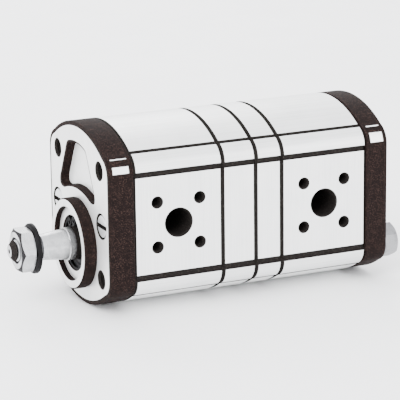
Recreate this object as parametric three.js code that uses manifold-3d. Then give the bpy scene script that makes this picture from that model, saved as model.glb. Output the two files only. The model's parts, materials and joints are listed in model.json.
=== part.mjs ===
// Tandem external gear pump: two gear stages on one drive line, in a row of bolted housing sections.
// Millimetres, +Z up. The origin is on the drive shaft's axis, in the plane of the mounting face.
// +X runs from the mounting face to the rear cover, so the shaft end points along -X.
// The pressure ports are on the -Y side and the suction ports on the +Y side.
import * as THREE from 'three';
import { mergeVertices } from 'three/addons/utils/BufferGeometryUtils.js';
import Module from 'manifold-3d';

const wasm = await Module();
wasm.setup();

// Section of the housing, from its centre half way between the two gear axes
const HALF_WIDTH = 43;
const HALF_HEIGHT = 50;
const CORNER_RADIUS = 10.7;
const CORNER_START = 29.3;
const CORNER_SWEEP = THREE.MathUtils.degToRad(71);
const PANEL_HALF_HEIGHT = 28.4;
const PANEL_RECESS = 0.8;

// Lengths of the housing sections, front to back
const FRONT_COVER = 14.4;
const BODY = 51.8;
const FRONT_PLATE = 19.8;
const REAR_PLATE = 15.7;
const REAR_COVER = 13.4;

// Where each section starts
const FRONT_BODY_X = FRONT_COVER;
const FRONT_PLATE_X = FRONT_BODY_X + BODY;
const REAR_PLATE_X = FRONT_PLATE_X + FRONT_PLATE;
const REAR_BODY_X = REAR_PLATE_X + REAR_PLATE;
const REAR_COVER_X = REAR_BODY_X + BODY;
const PUMP_END_X = REAR_COVER_X + REAR_COVER;

// Gears
const AXIS_SPACING = 33;
const TEETH = 12;
const MODULE = AXIS_SPACING / TEETH;
const PRESSURE_ANGLE = THREE.MathUtils.degToRad(20);
const TIP_RADIUS = 19.1;
const ROOT_RADIUS = 13.4;
const TOOTH_THINNING = 0.25;
const GEAR_WIDTH = 23.5;
const JOURNAL_RADIUS = 9;
const MIDDLE_Z = AXIS_SPACING / 2;

// Gaps between separate pieces
const GAP = 0.3;
const FACE_GAP = 0.15;
const BLOCK_LENGTH = (BODY - GEAR_WIDTH) / 2 - GAP - FACE_GAP;
const CHAMBER_RADIUS = TIP_RADIUS + GAP;
const BUSH_RADIUS = 11;
const BUSH_BORE = JOURNAL_RADIUS + GAP;

// Seals
const HOUSING_SEAL = { inner: 21.2, outer: 23.2, thickness: 1.6 };
const STRIP = { inner: 13.4, outer: 16.2, groove: 2.8 };
const BACKUP_STRIP = { depth: 0.1, thickness: 0.7 };
const PRESSURE_SEAL = { depth: 0.95, thickness: 1.6 };

// Pilot, seal pocket and shaft end
const PILOT_RADIUS = 25;
const PILOT_LENGTH = 7.15;
const PILOT_RECESS = { radius: 20, depth: 3 };
const SEAL_POCKET = { radius: 15, end: 6.2 };
const SHAFT_HOLE = 10;
const TAPER = { large: 8.5, small: 7, start: -9, end: -24 };
const THREAD_RADIUS = 6;
const THREAD_END = -41;
const WASHER = { radius: 13.7, from: -29.2, to: -26.8 };
const NUT = { flats: 22, from: -37.4, to: -29.3 };
const KEY = { width: 3, radius: 6.5, height: 5, centre: -16.5, foot: 4.15 };

// Ports: a bore and four threaded holes round it in each side of a body
const PRESSURE_PORT = { radius: 7.5, pitchRadius: 17.5 };
const SUCTION_PORT = { radius: 10, pitchRadius: 20 };
const PORT_SCREW_HOLE = { radius: 3, depth: 13 };

// Fasteners
const TIE_BOLT = { radius: 5, hole: 5.5, offset: 30, threadHole: 4.6, end: 5.5 };
const HEX_HEAD = { flats: 17, height: 8, washer: 2.2, washerRadius: 9.8 };
const SOCKET_HEAD = { radius: 8, height: 7, socket: 7, socketDepth: 4, pocket: 7.5 };
const SLOT_SCREW = { headRadius: 6.5, headHeight: 5, radius: 4, offset: 31.5, end: 27, slot: 2, slotDepth: 2 };
const DOWEL = { radius: 3, halfLength: 7, offset: 31.5 };

// Coupling between the stages
const COUPLING = { radius: 12, from: 73, to: 95, tangWidth: 6, tangLength: 7 };

// Recess in the front cover's face, above the housing's centre line: a shallow arc below, an arc round
// the centre line above, and slanting sides between round corners; all of it a little to the suction side
const RECESS = {
  depth: 4.5,
  shift: 2.3,
  lowRadius: 50,
  lowRise: 13.6,
  lowReach: 17.5,
  topRadius: 38.3,
  topReach: 10.5,
  foot: [25.4, 9.4],
  sideLow: [23.5, 15.5],
  sideHigh: [14.4, 33],
  shoulder: [13, 36.2],
};

// Flat sides round a turned shape: outside, inside the pump, and in small holes
const ROUND = 24;
const INNER = 16;
const SMALL = 10;

const CAST_IRON = { color: 0x2b2320, roughness: 0.75, metalness: 0.5 };
const ALUMINIUM = { color: 0xe4e5e3, roughness: 0.42, metalness: 0.7 };
const BLOCK_ALLOY = { color: 0xc6c4bc, roughness: 0.4, metalness: 0.8 };
const STEEL = { color: 0xd4d6d8, roughness: 0.25, metalness: 1 };
const BLACK_STEEL = { color: 0x26262a, roughness: 0.5, metalness: 0.8 };
const BRONZE = { color: 0xa9824f, roughness: 0.35, metalness: 1 };
const RUBBER = { color: 0x151517, roughness: 0.85, metalness: 0 };
const PLASTIC = { color: 0xe8e2d2, roughness: 0.6, metalness: 0 };

// ---------------------------------------------------------------- solids

/** Axes of an outline drawn in (y, z) and pulled along +X. */
const ALONG_X = new THREE.Matrix4().makeBasis(
  new THREE.Vector3(0, 1, 0),
  new THREE.Vector3(0, 0, 1),
  new THREE.Vector3(1, 0, 0),
);

/** Turns a closed three.js geometry into a solid that can be joined and cut. */
function solidOf(geometry) {
  geometry.deleteAttribute('normal');
  geometry.deleteAttribute('uv');
  const merged = mergeVertices(geometry, 1e-4);
  const kept = [];
  const corners = merged.index.array;
  for (let i = 0; i < corners.length; i += 3) {
    const [a, b, c] = [corners[i], corners[i + 1], corners[i + 2]];
    if (a !== b && b !== c && c !== a) kept.push(a, b, c);
  }
  const mesh = new wasm.Mesh({
    numProp: 3,
    vertProperties: new Float32Array(merged.attributes.position.array),
    triVerts: new Uint32Array(kept),
  });
  return new wasm.Manifold(mesh);
}

/** A named three.js mesh of a solid. */
function piece(name, solid, finish) {
  const { vertProperties, triVerts } = solid.asOriginal().getMesh();
  const geometry = new THREE.BufferGeometry();
  geometry.setAttribute('position', new THREE.BufferAttribute(vertProperties, 3));
  geometry.setIndex(new THREE.BufferAttribute(triVerts, 1));
  geometry.computeVertexNormals();
  const mesh = new THREE.Mesh(geometry, new THREE.MeshStandardMaterial(finish));
  mesh.name = name;
  return mesh;
}

/** An outline in (y, z) pulled from one x to another; each arc in it gets a number of flat sides. */
function prism(shape, from, to, curveSegments = 4) {
  const geometry = new THREE.ExtrudeGeometry(shape, { depth: to - from, curveSegments, bevelEnabled: false });
  geometry.applyMatrix4(ALONG_X);
  geometry.translate(from, 0, 0);
  return solidOf(geometry);
}

/** A round bar along X, centred on (y, z). */
function bar(radius, from, to, y = 0, z = 0, segments = INNER) {
  const geometry = new THREE.CylinderGeometry(radius, radius, to - from, segments);
  geometry.rotateZ(-Math.PI / 2);
  geometry.translate((from + to) / 2, y, z);
  return solidOf(geometry);
}

/** A round bar along Y, centred on (x, z). */
function crossBar(radius, from, to, x, z, segments) {
  const geometry = new THREE.CylinderGeometry(radius, radius, to - from, segments);
  geometry.translate(x, (from + to) / 2, z);
  return solidOf(geometry);
}

/** A box given by its two extreme corners. */
function block(low, high) {
  const size = high.map((value, i) => value - low[i]);
  const geometry = new THREE.BoxGeometry(...size);
  geometry.translate(...low.map((value, i) => value + size[i] / 2));
  return solidOf(geometry);
}

/** A shape turned about the X axis from a profile of [radius, x] points, in order of rising x. */
function turned(profile, segments = INNER) {
  const points = profile.map(([radius, x]) => new THREE.Vector2(radius, x));
  const geometry = new THREE.LatheGeometry(points, segments);
  geometry.rotateZ(-Math.PI / 2);
  return solidOf(geometry);
}

/** A hexagonal bar along X with its corners at the top and bottom, or turned by 30 degrees. */
function hexBar(flats, from, to, turn = 0) {
  const outline = new THREE.Shape();
  for (let i = 0; i < 6; i += 1) {
    const angle = Math.PI / 2 + turn + (i * Math.PI) / 3;
    const corner = flats / Math.sqrt(3);
    const at = [corner * Math.cos(angle), corner * Math.sin(angle)];
    if (i === 0) outline.moveTo(...at);
    else outline.lineTo(...at);
  }
  outline.closePath();
  return prism(outline, from, to);
}

/** Two round bars on the gear axes, joined into one spectacle-shaped bar. */
function spectacle(radius, from, to, segments = 24) {
  return bar(radius, from, to, 0, 0, segments).add(bar(radius, from, to, 0, AXIS_SPACING, segments));
}

/** The space between two spectacle-shaped bars. */
function spectacleRing(inner, outer, from, to) {
  return spectacle(outer, from, to, INNER).subtract(spectacle(inner, from, to, INNER));
}

/** All of a list of solids joined into one. */
function joined(solids) {
  return solids.reduce((sum, solid) => sum.add(solid));
}

/** A solid with every one of a list of cutters taken out of it. */
function cut(solid, cutters) {
  return cutters.reduce((rest, cutter) => rest.subtract(cutter), solid);
}

/** The four corners of a square pattern about the housing's centre line. */
function cornersOf(offset) {
  return [[-1, 1], [1, 1], [1, -1], [-1, -1]].map(([y, z]) => [y * offset, MIDDLE_Z + z * offset]);
}

// ---------------------------------------------------------------- housing

/** The outline of a housing section, with or without the recessed side panels. */
function sectionOutline(recess) {
  const cornerY = HALF_WIDTH - CORNER_RADIUS;
  const edgeY = cornerY + CORNER_RADIUS * Math.cos(CORNER_SWEEP);
  const edgeZ = CORNER_START + CORNER_RADIUS * Math.sin(CORNER_SWEEP);
  const rise = HALF_HEIGHT - edgeZ;
  const crownRadius = (edgeY ** 2 + rise ** 2) / (2 * rise);
  const crownZ = HALF_HEIGHT - crownRadius;
  const crownAngle = Math.atan2(edgeZ - crownZ, edgeY);
  const shape = new THREE.Shape();
  shape.moveTo(HALF_WIDTH - recess, MIDDLE_Z);
  for (const side of [1, -1]) {
    const turn = side > 0 ? 0 : Math.PI;
    const y = (value) => side * value;
    const z = (value) => MIDDLE_Z + side * value;
    if (recess > 0) {
      shape.lineTo(y(HALF_WIDTH - recess), z(PANEL_HALF_HEIGHT));
      shape.lineTo(y(HALF_WIDTH), z(CORNER_START));
    }
    shape.absarc(y(cornerY), z(CORNER_START), CORNER_RADIUS, turn, turn + CORNER_SWEEP, false);
    shape.absarc(0, z(crownZ), crownRadius, turn + crownAngle, turn + Math.PI - crownAngle, false);
    shape.absarc(-y(cornerY), z(CORNER_START), CORNER_RADIUS, turn + Math.PI - CORNER_SWEEP, turn + Math.PI, false);
    if (recess > 0) shape.lineTo(-y(HALF_WIDTH - recess), z(PANEL_HALF_HEIGHT));
  }
  shape.closePath();
  return shape;
}

/** One solid housing section, before it is bored. */
function section(from, to, recess) {
  return prism(sectionOutline(recess), from, to);
}

/** Groove for a housing seal in the face at x, sunk along the given direction. */
function sealGroove(x, direction) {
  const depth = HOUSING_SEAL.thickness + 2 * FACE_GAP;
  const [from, to] = direction > 0 ? [x - 1, x + depth] : [x - depth, x + 1];
  return spectacleRing(HOUSING_SEAL.inner - GAP, HOUSING_SEAL.outer + GAP, from, to);
}

/** Clearance holes for the tie bolts, through everything from one x to another. */
function tieBoltHoles(from, to) {
  return cornersOf(TIE_BOLT.offset).map(([y, z]) => bar(TIE_BOLT.hole, from, to, y, z, SMALL));
}

/** Holes for the dowels across the joint at x. */
function dowelHoles(x) {
  const reach = DOWEL.halfLength + GAP;
  return [-1, 1].map((side) => bar(DOWEL.radius + GAP, x - reach, x + reach, side * DOWEL.offset, MIDDLE_Z, 8));
}

/** Outline of the cast recess above the pilot: two arcs and two slanting sides with round corners. */
function recessOutline() {
  const { lowRadius, lowRise, lowReach, topRadius, topReach, foot, sideLow, sideHigh, shoulder } = RECESS;
  const lowHalf = Math.asin(lowReach / lowRadius);
  const topHalf = Math.asin(topReach / topRadius);
  const lowCentre = MIDDLE_Z + lowRise - lowRadius;
  const lowEnd = [lowReach, lowRadius * Math.cos(lowHalf) + lowRise - lowRadius];
  const at = ([y, z], side) => [side * y, MIDDLE_Z + z];
  const shape = new THREE.Shape();
  shape.moveTo(...at(lowEnd, -1));
  shape.absarc(0, lowCentre, lowRadius, Math.PI / 2 + lowHalf, Math.PI / 2 - lowHalf, true);
  shape.quadraticCurveTo(...at(foot, 1), ...at(sideLow, 1));
  shape.lineTo(...at(sideHigh, 1));
  shape.quadraticCurveTo(...at(shoulder, 1), ...at([topReach, topRadius * Math.cos(topHalf)], 1));
  shape.absarc(0, MIDDLE_Z, topRadius, Math.PI / 2 - topHalf, Math.PI / 2 + topHalf, false);
  shape.quadraticCurveTo(...at(shoulder, -1), ...at(sideHigh, -1));
  shape.lineTo(...at(sideLow, -1));
  shape.quadraticCurveTo(...at(foot, -1), ...at(lowEnd, -1));
  return shape;
}

/** Front cover: flange plate, pilot with the seal pocket, recess and screw holes. */
function frontCover() {
  const pilot = turned([
    [0, -PILOT_LENGTH],
    [PILOT_RADIUS - 1, -PILOT_LENGTH],
    [PILOT_RADIUS, 1 - PILOT_LENGTH],
    [PILOT_RADIUS, 2],
    [0, 2],
  ], ROUND);
  const screwHead = SLOT_SCREW.headRadius + GAP;
  const screwHoles = [-1, 1].flatMap((side) => [
    bar(screwHead, -1, SLOT_SCREW.headHeight + GAP, side * SLOT_SCREW.offset, MIDDLE_Z),
    bar(SLOT_SCREW.radius + GAP, 0, FRONT_COVER + 1, side * SLOT_SCREW.offset, MIDDLE_Z, SMALL),
  ]);
  const threadHoles = cornersOf(TIE_BOLT.offset).map(([y, z]) => bar(TIE_BOLT.threadHole, -1, 8, y, z, SMALL));
  return cut(section(0, FRONT_COVER, 0).add(pilot), [
    bar(PILOT_RECESS.radius, -PILOT_LENGTH - 1, PILOT_RECESS.depth - PILOT_LENGTH, 0, 0, ROUND),
    bar(SEAL_POCKET.radius, -PILOT_LENGTH, SEAL_POCKET.end, 0, 0, ROUND),
    bar(SEAL_POCKET.radius + 1.1, -3.7, -2.1, 0, 0, ROUND),
    bar(SHAFT_HOLE, 0, FRONT_COVER + 1),
    prism(recessOutline(), -1, RECESS.depth).translate([0, RECESS.shift, 0]),
    ...screwHoles,
    ...threadHoles,
    ...tieBoltHoles(TIE_BOLT.end - GAP, FRONT_COVER + 1),
    sealGroove(FRONT_COVER, -1),
  ]);
}

/** A port in one side of a body: its bore and the four threaded holes round it. */
function port(size, x, side) {
  const face = side * (HALF_WIDTH + 1);
  const bottom = side * (HALF_WIDTH - PANEL_RECESS - PORT_SCREW_HOLE.depth);
  const step = size.pitchRadius * Math.SQRT1_2;
  const holes = [[-1, -1], [-1, 1], [1, -1], [1, 1]].map(([along, up]) => crossBar(
    PORT_SCREW_HOLE.radius,
    Math.min(face, bottom),
    Math.max(face, bottom),
    x + along * step,
    MIDDLE_Z + up * step,
    8,
  ));
  const inner = side * 6;
  return [crossBar(size.radius, Math.min(face, inner), Math.max(face, inner), x, MIDDLE_Z, 20), ...holes];
}

/** Body of one stage, from x: the gear chamber, a pressure port and a suction port. */
function body(x) {
  const middle = x + BODY / 2;
  const cutters = [
    spectacle(CHAMBER_RADIUS, x - 1, x + BODY + 1),
    ...port(PRESSURE_PORT, middle, -1),
    ...port(SUCTION_PORT, middle, 1),
    ...tieBoltHoles(x - 1, x + BODY + 1),
  ];
  return cut(section(x, x + BODY, PANEL_RECESS), cutters);
}

/** Front body: the stage's body with tapped holes for the two slotted screws. */
function frontBody() {
  const holes = [-1, 1].map((side) => (
    bar(SLOT_SCREW.radius + GAP, FRONT_BODY_X - 1, SLOT_SCREW.end + GAP, side * SLOT_SCREW.offset, MIDDLE_Z, SMALL)
  ));
  return cut(body(FRONT_BODY_X), [...holes, ...dowelHoles(FRONT_PLATE_X)]);
}

/** Rear body: the stage's body with dowel holes at both ends. */
function rearBody() {
  return cut(body(REAR_BODY_X), [...dowelHoles(REAR_BODY_X), ...dowelHoles(REAR_COVER_X)]);
}

/** Middle plate behind the front stage: half of the coupling's space, and a ring groove. */
function frontPlate() {
  return cut(section(FRONT_PLATE_X, REAR_PLATE_X, PANEL_RECESS), [
    bar(SHAFT_HOLE, FRONT_PLATE_X - 1, REAR_PLATE_X),
    bar(COUPLING.radius + 1, COUPLING.from - 1, REAR_PLATE_X + 1),
    bar(19, REAR_PLATE_X - 2, REAR_PLATE_X + 1).subtract(bar(16, REAR_PLATE_X - 2, REAR_PLATE_X + 1)),
    ...tieBoltHoles(FRONT_PLATE_X - 1, REAR_PLATE_X + 1),
    ...dowelHoles(FRONT_PLATE_X),
    ...dowelHoles(REAR_PLATE_X),
    sealGroove(FRONT_PLATE_X, 1),
  ]);
}

/** Middle plate before the rear stage: the other half of the coupling's space. */
function rearPlate() {
  return cut(section(REAR_PLATE_X, REAR_BODY_X, PANEL_RECESS), [
    bar(SHAFT_HOLE, REAR_PLATE_X, REAR_BODY_X + 1),
    bar(COUPLING.radius + 1, REAR_PLATE_X - 1, COUPLING.to + 1),
    ...tieBoltHoles(REAR_PLATE_X - 1, REAR_BODY_X + 1),
    ...dowelHoles(REAR_PLATE_X),
    ...dowelHoles(REAR_BODY_X),
    sealGroove(REAR_BODY_X, -1),
  ]);
}

/** Rear cover: two of its corners are counterbored for the socket heads. */
function rearCover() {
  const pockets = cornersOf(TIE_BOLT.offset)
    .filter((_, i) => i % 2 === 0)
    .map(([y, z]) => bar(SOCKET_HEAD.radius + GAP, PUMP_END_X - SOCKET_HEAD.pocket, PUMP_END_X + 1, y, z));
  return cut(section(REAR_COVER_X, PUMP_END_X, 0), [
    ...tieBoltHoles(REAR_COVER_X - 1, PUMP_END_X + 1),
    ...pockets,
    ...dowelHoles(REAR_COVER_X),
    sealGroove(REAR_COVER_X, 1),
  ]);
}

/** Figure-eight seal that lies in the groove of the face at x. */
function housingSeal(x, direction) {
  const [near, far] = [x + direction * FACE_GAP, x + direction * (FACE_GAP + HOUSING_SEAL.thickness)];
  const [from, to] = [Math.min(near, far), Math.max(near, far)];
  return spectacleRing(HOUSING_SEAL.inner, HOUSING_SEAL.outer, from, to);
}

// ---------------------------------------------------------------- gears and shafts

/** Outline of a gear with one tooth pointing up, or turned on by half a tooth. */
function gearOutline(turn) {
  const pitchRadius = (MODULE * TEETH) / 2;
  const baseRadius = pitchRadius * Math.cos(PRESSURE_ANGLE);
  const involute = (radius) => {
    const angle = Math.acos(Math.min(1, baseRadius / radius));
    return Math.tan(angle) - angle;
  };
  const halfTooth = Math.PI / (2 * TEETH) - TOOTH_THINNING / (2 * pitchRadius) + involute(pitchRadius);
  const flank = [ROOT_RADIUS, pitchRadius, TIP_RADIUS];
  const points = [];
  for (let tooth = 0; tooth < TEETH; tooth += 1) {
    const middle = Math.PI / 2 + turn + (tooth * 2 * Math.PI) / TEETH;
    const corners = [
      ...flank.map((radius) => [radius, middle - halfTooth + involute(radius)]),
      ...flank.toReversed().map((radius) => [radius, middle + halfTooth - involute(radius)]),
    ];
    points.push(...corners.map(([radius, angle]) => (
      new THREE.Vector2(radius * Math.cos(angle), radius * Math.sin(angle))
    )));
  }
  return new THREE.Shape(points);
}

/** A gear of one stage; x is where the stage's body starts. */
function gear(x, turn) {
  const from = x + FACE_GAP + BLOCK_LENGTH + GAP;
  return prism(gearOutline(turn), from, from + GEAR_WIDTH);
}

/** A plain journal with small end chamfers. */
function journal(from, to) {
  return turned([
    [0, from],
    [JOURNAL_RADIUS - 0.6, from],
    [JOURNAL_RADIUS, from + 0.6],
    [JOURNAL_RADIUS, to - 0.6],
    [JOURNAL_RADIUS - 0.6, to],
    [0, to],
  ]);
}

/** A flat tang that carries a shaft's torque into the coupling. */
function tang(from, to, upright) {
  const half = COUPLING.tangWidth / 2;
  const wide = 8;
  const [y, z] = upright ? [half, wide] : [wide, half];
  return block([from, -y, -z], [to, y, z]);
}

/** Drive shaft: threaded end, taper with its key seat, journals, gear and a tang at the back. */
function frontDriveShaft() {
  const back = COUPLING.from - GAP;
  const seat = KEY.foot - GAP;
  const turnedShaft = turned([
    [0, THREAD_END],
    [THREAD_RADIUS - 2.6, THREAD_END],
    [THREAD_RADIUS, THREAD_END + 1.6],
    [THREAD_RADIUS, TAPER.end - 1.5],
    [THREAD_RADIUS - 0.8, TAPER.end - 0.9],
    [THREAD_RADIUS - 0.8, TAPER.end],
    [TAPER.small, TAPER.end],
    [TAPER.large, TAPER.start],
    [JOURNAL_RADIUS, TAPER.start + 0.6],
    [JOURNAL_RADIUS, back - 0.6],
    [JOURNAL_RADIUS - 0.6, back],
    [0, back],
  ]);
  const disc = new THREE.CylinderGeometry(KEY.radius + GAP, KEY.radius + GAP, KEY.width + 2 * GAP, INNER);
  disc.rotateX(Math.PI / 2);
  disc.translate(KEY.centre, seat + KEY.radius + GAP, 0);
  const tangEnd = COUPLING.from + COUPLING.tangLength - GAP;
  return joined([turnedShaft, gear(FRONT_BODY_X, 0), tang(back - 1, tangEnd, true)]).subtract(solidOf(disc));
}

/** Rear drive shaft: a tang at the front, journals and gear. */
function rearDriveShaft() {
  const front = COUPLING.to + GAP;
  const tangEnd = COUPLING.to - COUPLING.tangLength + GAP;
  return joined([
    journal(front, REAR_COVER_X - 0.5),
    gear(REAR_BODY_X, 0),
    tang(tangEnd, front + 1, false),
  ]);
}

/** Driven gear of the stage whose body starts at x, on its own axis. */
function drivenShaft(x) {
  const halfPitch = Math.PI / TEETH;
  return journal(x + 0.5, x + BODY - 0.5).add(gear(x, halfPitch));
}

/** Coupling: a short drum with a slot across each end, a quarter turn apart. */
function coupling() {
  const half = COUPLING.tangWidth / 2 + GAP;
  const wide = COUPLING.radius + 1;
  const drum = turned([
    [0, COUPLING.from],
    [COUPLING.radius - 0.8, COUPLING.from],
    [COUPLING.radius, COUPLING.from + 0.8],
    [COUPLING.radius, COUPLING.to - 0.8],
    [COUPLING.radius - 0.8, COUPLING.to],
    [0, COUPLING.to],
  ]);
  return cut(drum, [
    block([COUPLING.from - 1, -half, -wide], [COUPLING.from + COUPLING.tangLength, half, wide]),
    block([COUPLING.to - COUPLING.tangLength, -wide, -half], [COUPLING.to + 1, wide, half]),
  ]);
}

/** Woodruff key, with the round edge of its disc in the shaft. */
function woodruffKey() {
  const disc = new THREE.CylinderGeometry(KEY.radius, KEY.radius, KEY.width, INNER);
  disc.rotateX(Math.PI / 2);
  disc.translate(KEY.centre, KEY.foot + KEY.radius, 0);
  const top = KEY.foot + KEY.height;
  return solidOf(disc).subtract(block([KEY.centre - 10, top, -5], [KEY.centre + 10, top + 20, 5]));
}

/** Washer under the shaft nut. */
function shaftWasher() {
  const { radius, from, to } = WASHER;
  const rim = bar(radius, from, to, 0, 0, ROUND);
  return rim.subtract(bar(THREAD_RADIUS + GAP, from - 1, to + 1));
}

/** Nut on the shaft's thread, chamfered at both ends. */
function shaftNut() {
  const { flats, from, to } = NUT;
  const chamferCone = turned([
    [0, from],
    [flats / 2, from],
    [flats / 2 + 2.6, from + 1.5],
    [flats / 2 + 2.6, to - 1.5],
    [flats / 2, to],
    [0, to],
  ]);
  const hexagon = hexBar(flats, from - 1, to + 1).intersect(chamferCone);
  return hexagon.subtract(bar(THREAD_RADIUS + GAP, from - 1, to + 1));
}

// ---------------------------------------------------------------- bearings and seals

/** The open, three-shaped strip round the suction side of both journals. */
function strip(from, to, spare = 0) {
  const arcs = [0, AXIS_SPACING].map((z) => {
    const shape = new THREE.Shape();
    shape.absarc(0, z, STRIP.outer + spare, -Math.PI / 2, Math.PI / 2, false);
    shape.absarc(0, z, STRIP.inner - spare, Math.PI / 2, -Math.PI / 2, true);
    shape.closePath();
    return prism(shape, from, to, 5);
  });
  const reach = MIDDLE_Z - STRIP.inner + spare;
  const bridge = block([from, -2.5 - spare, MIDDLE_Z - reach], [to, 0.5 + spare, MIDDLE_Z + reach]);
  return joined([...arcs, bridge]);
}

/** Bearing block of one stage; outward is -1 for the block before the gears and 1 for the one behind. */
function bearingBlock(x, outward) {
  const from = outward < 0 ? x + FACE_GAP : x + BODY - FACE_GAP - BLOCK_LENGTH;
  const to = from + BLOCK_LENGTH;
  const [grooveFrom, grooveTo] = outward < 0 ? [from - 1, from + STRIP.groove] : [to - STRIP.groove, to + 1];
  const bores = [0, AXIS_SPACING].map((z) => bar(BUSH_RADIUS + 0.2, from - 1, to + 1, 0, z));
  return cut(spectacle(TIP_RADIUS, from, to), [
    ...bores,
    strip(grooveFrom, grooveTo, GAP),
  ]);
}

/** Bush for one journal, inside a bearing block. */
function bush(x, outward) {
  const from = outward < 0 ? x + FACE_GAP : x + BODY - FACE_GAP - BLOCK_LENGTH;
  const [start, end] = [from + GAP, from + BLOCK_LENGTH - GAP];
  return bar(BUSH_RADIUS, start, end).subtract(bar(BUSH_BORE, start - 1, end + 1));
}

/** Pressure seal or the backup strip that lies on it, in the groove of a bearing block. */
function blockStrip({ depth, thickness }, x, outward) {
  const face = outward < 0 ? x + FACE_GAP : x + BODY - FACE_GAP;
  const near = face - outward * depth;
  const far = near - outward * thickness;
  return strip(Math.min(near, far), Math.max(near, far));
}

/** Lip seal of the drive shaft: outer case, web and lip. */
function shaftSeal() {
  const profile = [
    [9.3, -1.6],
    [14.7, -1.6],
    [14.7, 5.8],
    [12.9, 5.8],
    [12.9, 0.4],
    [10.6, 0.4],
    [9.3, 3],
    [9.3, -1.6],
  ];
  return turned(profile, ROUND);
}

/** Circlip in the seal pocket's groove: an open ring with a holed lug at each end. */
function sealCirclip() {
  const [from, to] = [-3.5, -2.3];
  const gapHalf = 0.2;
  const middle = THREE.MathUtils.degToRad(72);
  const outer = SEAL_POCKET.radius + 0.7;
  const inner = SEAL_POCKET.radius - 1.3;
  const ring = new THREE.Shape();
  ring.absarc(0, 0, outer, middle + gapHalf, middle - gapHalf + 2 * Math.PI, false);
  ring.absarc(0, 0, inner, middle - gapHalf + 2 * Math.PI, middle + gapHalf, true);
  ring.closePath();
  const lugAngles = [middle + gapHalf + 0.06, middle - gapHalf - 0.06];
  const lugs = lugAngles.map((angle) => bar(2.3, from, to, 12.2 * Math.cos(angle), 12.2 * Math.sin(angle), SMALL));
  const holes = lugAngles.map((angle) => bar(1, from - 1, to + 1, 11.9 * Math.cos(angle), 11.9 * Math.sin(angle), 8));
  return cut(joined([prism(ring, from, to, 16), ...lugs]), holes);
}

/** O-ring between the middle plates. */
function plateRing() {
  const [from, to] = [REAR_PLATE_X - 1.8, REAR_PLATE_X - 0.2];
  return bar(18.6, from, to).subtract(bar(16.4, from - 1, to + 1));
}

// ---------------------------------------------------------------- fasteners

/** Tie bolt on the axis: shank from the front cover's thread to its head on the rear cover. */
function tieBolt(socketHead) {
  const headAt = socketHead ? PUMP_END_X - SOCKET_HEAD.pocket + FACE_GAP : PUMP_END_X;
  const shank = turned([
    [0, TIE_BOLT.end],
    [TIE_BOLT.radius - 1, TIE_BOLT.end],
    [TIE_BOLT.radius, TIE_BOLT.end + 1],
    [TIE_BOLT.radius, headAt + 1],
    [0, headAt + 1],
  ], SMALL);
  if (socketHead) {
    const end = headAt + SOCKET_HEAD.height;
    const head = bar(SOCKET_HEAD.radius, headAt, end);
    return head.add(shank).subtract(hexBar(SOCKET_HEAD.socket, end - SOCKET_HEAD.socketDepth, end + 1));
  }
  const seat = headAt + HEX_HEAD.washer;
  const end = seat + HEX_HEAD.height;
  const washer = bar(HEX_HEAD.washerRadius, headAt, seat);
  const crown = turned([
    [0, headAt],
    [HEX_HEAD.flats / 2 + 2, headAt],
    [HEX_HEAD.flats / 2 + 2, end - 1.2],
    [HEX_HEAD.flats / 2, end],
    [0, end],
  ]);
  return joined([hexBar(HEX_HEAD.flats, headAt, end + 1, Math.PI / 6).intersect(crown), washer, shank]);
}

/** Slotted cheese-head screw, flush in the front cover. */
function slottedScrew() {
  const { headRadius, headHeight, radius, end, slot, slotDepth } = SLOT_SCREW;
  const head = bar(headRadius, 0.2, headHeight);
  const shank = bar(radius, headHeight - 1, end, 0, 0, SMALL);
  return head.add(shank).subtract(block([-1, -8, -slot / 2], [0.2 + slotDepth, 8, slot / 2]));
}

/** Dowel across the joint at x, on its own axis. */
function dowel(x) {
  return bar(DOWEL.radius, x - DOWEL.halfLength, x + DOWEL.halfLength, 0, 0, 8);
}

// ---------------------------------------------------------------- assembly

/** The outer housing, its seals, bolts, screws and dowels. */
function housingGroup() {
  const group = new THREE.Group();
  group.add(
    piece('front_cover', frontCover(), CAST_IRON),
    piece('front_body', frontBody(), ALUMINIUM),
    piece('front_middle_plate', frontPlate(), ALUMINIUM),
    piece('rear_middle_plate', rearPlate(), ALUMINIUM),
    piece('rear_body', rearBody(), ALUMINIUM),
    piece('rear_cover', rearCover(), CAST_IRON),
    piece('shaft_seal', shaftSeal(), RUBBER),
    piece('seal_circlip', sealCirclip(), BLACK_STEEL),
    piece('middle_plate_o_ring', plateRing(), RUBBER),
    piece('housing_seal_1', housingSeal(FRONT_BODY_X, -1), RUBBER),
    piece('housing_seal_2', housingSeal(FRONT_PLATE_X, 1), RUBBER),
    piece('housing_seal_3', housingSeal(REAR_BODY_X, -1), RUBBER),
    piece('housing_seal_4', housingSeal(REAR_COVER_X, 1), RUBBER),
  );
  cornersOf(TIE_BOLT.offset).forEach(([y, z], i) => {
    const socketHead = i % 2 === 0;
    const bolt = piece(`tie_bolt_${i + 1}`, tieBolt(socketHead), socketHead ? BLACK_STEEL : STEEL);
    bolt.position.set(0, y, z);
    group.add(bolt);
  });
  [-1, 1].forEach((side, i) => {
    const screw = piece(`slotted_screw_${i + 1}`, slottedScrew(), STEEL);
    screw.position.set(0, side * SLOT_SCREW.offset, MIDDLE_Z);
    group.add(screw);
  });
  [FRONT_PLATE_X, REAR_PLATE_X, REAR_BODY_X, REAR_COVER_X].forEach((x, joint) => {
    [-1, 1].forEach((side, i) => {
      const pin = piece(`dowel_${2 * joint + i + 1}`, dowel(x), STEEL);
      pin.position.set(0, side * DOWEL.offset, MIDDLE_Z);
      group.add(pin);
    });
  });
  return group;
}

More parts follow.
